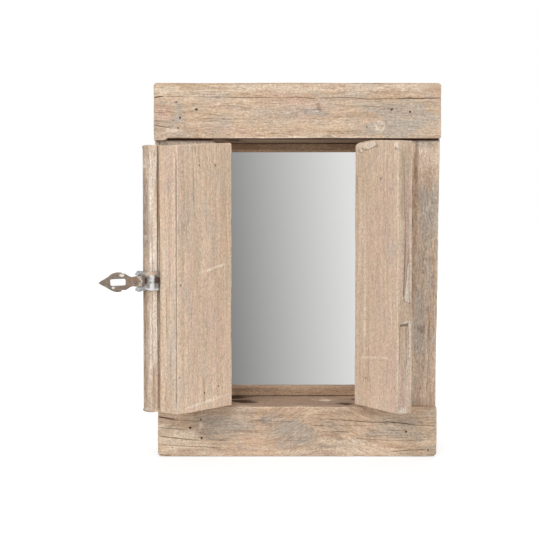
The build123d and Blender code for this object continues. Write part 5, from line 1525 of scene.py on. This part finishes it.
def silvered_glass():
    """Float glass with silver behind. The eye gets a clear reflection, slightly cool."""
    # Floated glass is almost perfectly smooth. A faint broad haze stands for old dust and wiping
    material, tree, output = new_material("silvered_glass")
    place = add(tree, "ShaderNodeTexCoord").outputs["Object"]
    haze = add(tree, "ShaderNodeTexNoise", {"Vector": place, "Scale": 1 / (HAZE_SIZE * MM), "Detail": 3.0})
    rough = add(tree, "ShaderNodeMapRange", {"Value": haze.outputs["Fac"], "From Min": 0.3, "From Max": 0.8,
                                             "To Min": 0.012, "To Max": 0.03})
    shader = add(tree, "ShaderNodeBsdfPrincipled", {"Base Color": linear("#f4f4f3"), "Metallic": 1.0,
                                                    "Roughness": rough.outputs[0]})
    tree.links.new(shader.outputs[0], output.inputs["Surface"])
    return material


def poplar_ply():
    """Thin plywood, sanded once and dusty now. The face is pale and even, with faint long figure."""
    material, tree, output = new_material("poplar_ply")
    place = add(tree, "ShaderNodeTexCoord").outputs["Object"]
    scale = [1 / (size * MM) for size in (FIGURE_WIDTH, FIGURE_WIDTH, FIGURE_LENGTH)]
    mapped = add(tree, "ShaderNodeMapping", {"Vector": place, "Scale": scale})
    figure = add(tree, "ShaderNodeTexNoise", {"Vector": mapped.outputs[0], "Scale": 1.0, "Detail": 5.0})
    colour = add(tree, "ShaderNodeMix", {0: figure.outputs["Fac"], 6: linear("#c0a582"), 7: linear("#a08364")},
                 data_type="RGBA")
    shader = add(tree, "ShaderNodeBsdfPrincipled", {"Base Color": colour.outputs[2], "Roughness": 0.7})
    tree.links.new(shader.outputs[0], output.inputs["Surface"])
    return material


packed_finish = {"mirror_glass": silvered_glass(), "backing_board": poplar_ply(), "corner_nails": NAIL_IRON,
                 "astragal_nails": NAIL_IRON, "slip_pins": NAIL_IRON, "backing_nails": NAIL_IRON}
for title, made in frame["nodes"].items():
    if made.hide_render:
        continue
    made.data.materials.clear()
    made.data.materials.append(packed_finish.get(title, HINGE_STEEL))
print("kept", sorted(title for title, made in frame["nodes"].items() if not made.hide_render))

# %% [markdown]
# ## What the mirror shows
# The mirror in the photograph was evened out to a plain gradient and shows nothing of the shutters. So
# all that rides on a shutter is left out of reflections here too, and the hinges with it. The seats of
# the hinge leaves would then show as black holes, so what sits in them keeps no light out of them.

# %% Keep the shutters out of the mirror
hidden = []
for made in bpy.context.scene.objects:
    on_frame = made.get("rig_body", "window_frame") == "window_frame"
    if made.type == "MESH" and (not on_frame or "hinge" in made.name):
        made.visible_glossy, made.visible_shadow, made.visible_diffuse = False, not on_frame, not on_frame
        hidden.append(made.name)
print(len(hidden), "pieces are left out of reflections")

# %% [markdown]
# ## Table and card
# The object stands on a white table before a white wall. What the mirror shows is a pale grey card
# behind the camera, darker to the left, that only reflections can see. A lamp of that shape would do
# too, but it would also light the wood.

# %% The white table
FLOOR_FRONT, FLOOR_SIDE, FLOOR_BACK = -0.40, 3.0, 3.0
ROOM_LEVEL = 0.42


def plate(name, corners, material):
    """A flat four-cornered stage piece."""
    mesh = bpy.data.meshes.new(name)
    mesh.from_pydata(corners, [], [(0, 1, 2, 3)])
    mesh.materials.append(material)
    made = put(name, mesh)
    return made


def looked_at(tree):
    """1 where the eye or a mirror looks at a surface, and 0 for light that only bounces off it."""
    path = add(tree, "ShaderNodeLightPath").outputs
    seen = path["Is Camera Ray"]
    for kind in ("Is Glossy Ray", "Is Transmission Ray"):
        seen = add(tree, "ShaderNodeMath", {0: seen, 1: path[kind]}, operation="MAXIMUM").outputs[0]
    return seen


def white_table():
    """A matt white table top. To the eye and in reflections it glows to white, but shadows still show."""
    material, tree, output = new_material("white_table")
    paint = add(tree, "ShaderNodeBsdfDiffuse", {"Color": linear("#f0f0f0")})
    dim = add(tree, "ShaderNodeBsdfDiffuse", {"Color": (ROOM_LEVEL, ROOM_LEVEL, ROOM_LEVEL, 1)})
    place = add(tree, "ShaderNodeTexCoord").outputs["Object"]
    far = add(tree, "ShaderNodeVectorMath", {0: place}, operation="LENGTH")
    level = add(tree, "ShaderNodeMapRange", {"Value": far.outputs["Value"], "From Min": 0.3, "From Max": 0.75,
                                             "To Min": 0.66, "To Max": 1.0})
    glow = add(tree, "ShaderNodeEmission", {"Color": linear("#ffffff"), "Strength": level.outputs[0]})
    both = add(tree, "ShaderNodeAddShader", {0: dim.outputs[0], 1: glow.outputs[0]})
    mix = add(tree, "ShaderNodeMixShader", {0: looked_at(tree), 1: paint.outputs[0], 2: both.outputs[0]})
    tree.links.new(mix.outputs[0], output.inputs["Surface"])
    return material


plate("table", [(-FLOOR_SIDE, FLOOR_FRONT, 0), (FLOOR_SIDE, FLOOR_FRONT, 0), (FLOOR_SIDE, FLOOR_BACK, 0),
                (-FLOOR_SIDE, FLOOR_BACK, 0)], white_table())
print("the table is", 2 * FLOOR_SIDE, "m wide")

# %% The grey card
CARD_Y, CARD_SIDE, CARD_LOW, CARD_HIGH = -2.2, 1.0, -0.9, 1.1
CARD_DARK_X, CARD_PALE_X, CARD_SLANT = -0.17, 0.23, 0.08


def grey_card():
    """What stands behind the camera: a grey card that pales from left to right, and a little upwards."""
    material, tree, output = new_material("grey_card")
    place = add(tree, "ShaderNodeSeparateXYZ", {0: add(tree, "ShaderNodeTexCoord").outputs["Object"]})
    slant = add(tree, "ShaderNodeMath", {0: place.outputs[2], 1: CARD_SLANT, 2: place.outputs[0]},
                operation="MULTIPLY_ADD").outputs[0]
    share = add(tree, "ShaderNodeMapRange", {"Value": slant, "From Min": CARD_DARK_X, "From Max": CARD_PALE_X})
    colour = add(tree, "ShaderNodeMix", {0: share.outputs[0], 6: linear("#858585"), 7: linear("#e9e9e9")},
                 data_type="RGBA")
    glow = add(tree, "ShaderNodeEmission", {"Color": colour.outputs[2], "Strength": 1.0})
    tree.links.new(glow.outputs[0], output.inputs["Surface"])
    return material


card = plate("card", [(-CARD_SIDE, CARD_Y, CARD_LOW), (CARD_SIDE, CARD_Y, CARD_LOW), (CARD_SIDE, CARD_Y, CARD_HIGH),
                      (-CARD_SIDE, CARD_Y, CARD_HIGH)], grey_card())
card.visible_camera = card.visible_diffuse = card.visible_shadow = card.visible_transmission = False
print("the card is", 2 * CARD_SIDE, "m wide")

# %% [markdown]
# ## Light and camera
# The room is white all round and full bright only where it is looked at, so it lights the wood softly
# and still makes a white ground. Two large soft lamps stand in front, and a third behind keeps the
# back from going flat. The camera has the lens and the height that fit the edges of the frame in the
# photograph, which is what makes the lines of the render fall on those of the photo.

# %% World
world = bpy.data.worlds.new("white_room")
bpy.context.scene.world = world
world.use_nodes = True
tree = world.node_tree
tree.nodes.clear()
strength = add(tree, "ShaderNodeMapRange", {"Value": looked_at(tree), "To Min": ROOM_LEVEL, "To Max": 1.0})
sky = add(tree, "ShaderNodeBackground", {"Color": linear("#ffffff"), "Strength": strength.outputs[0]})
add(tree, "ShaderNodeOutputWorld", {0: sky.outputs[0]})
print("the room lights the piece with", ROOM_LEVEL, "of what the eye sees of it")

# %% Lamps
LAMP_AIM = Vector((0, 0, 0.2))
# Place, width and height in metres, and power in watts
LAMPS = {"key": ((-0.9, -1.9, 1.5), 1.4, 1.2, 34), "fill": ((1.3, -1.7, 0.9), 1.2, 1.2, 16),
         "back": ((0.2, 1.8, 1.8), 1.6, 1.2, 26)}
for name, (place, wide, high, power) in LAMPS.items():
    light = bpy.data.lights.new(name, "AREA")
    light.shape, light.size, light.size_y, light.energy = "RECTANGLE", wide, high, power
    lamp = put(name, light)
    lamp.location = place
    lamp.rotation_euler = (LAMP_AIM - Vector(place)).to_track_quat("-Z", "Y").to_euler()
print("lamps", *LAMPS)

# %% Camera
LENS, SENSOR = 82.67, 36.0
CAMERA_PLACE, CAMERA_DOWN = (-0.02865, -1.3427, 0.25047), 2.369
camera = put("camera", bpy.data.cameras.new("camera"))
camera.data.lens, camera.data.sensor_width = LENS, SENSOR
camera.data.clip_start, camera.data.clip_end = 0.05, 20.0
camera.location = CAMERA_PLACE
camera.rotation_euler = (math.radians(90 - CAMERA_DOWN), 0, 0)
bpy.context.scene.camera = camera
bpy.context.scene.view_settings.view_transform = "Standard"
print("camera", LENS, "mm, looking down by", CAMERA_DOWN, "degrees")
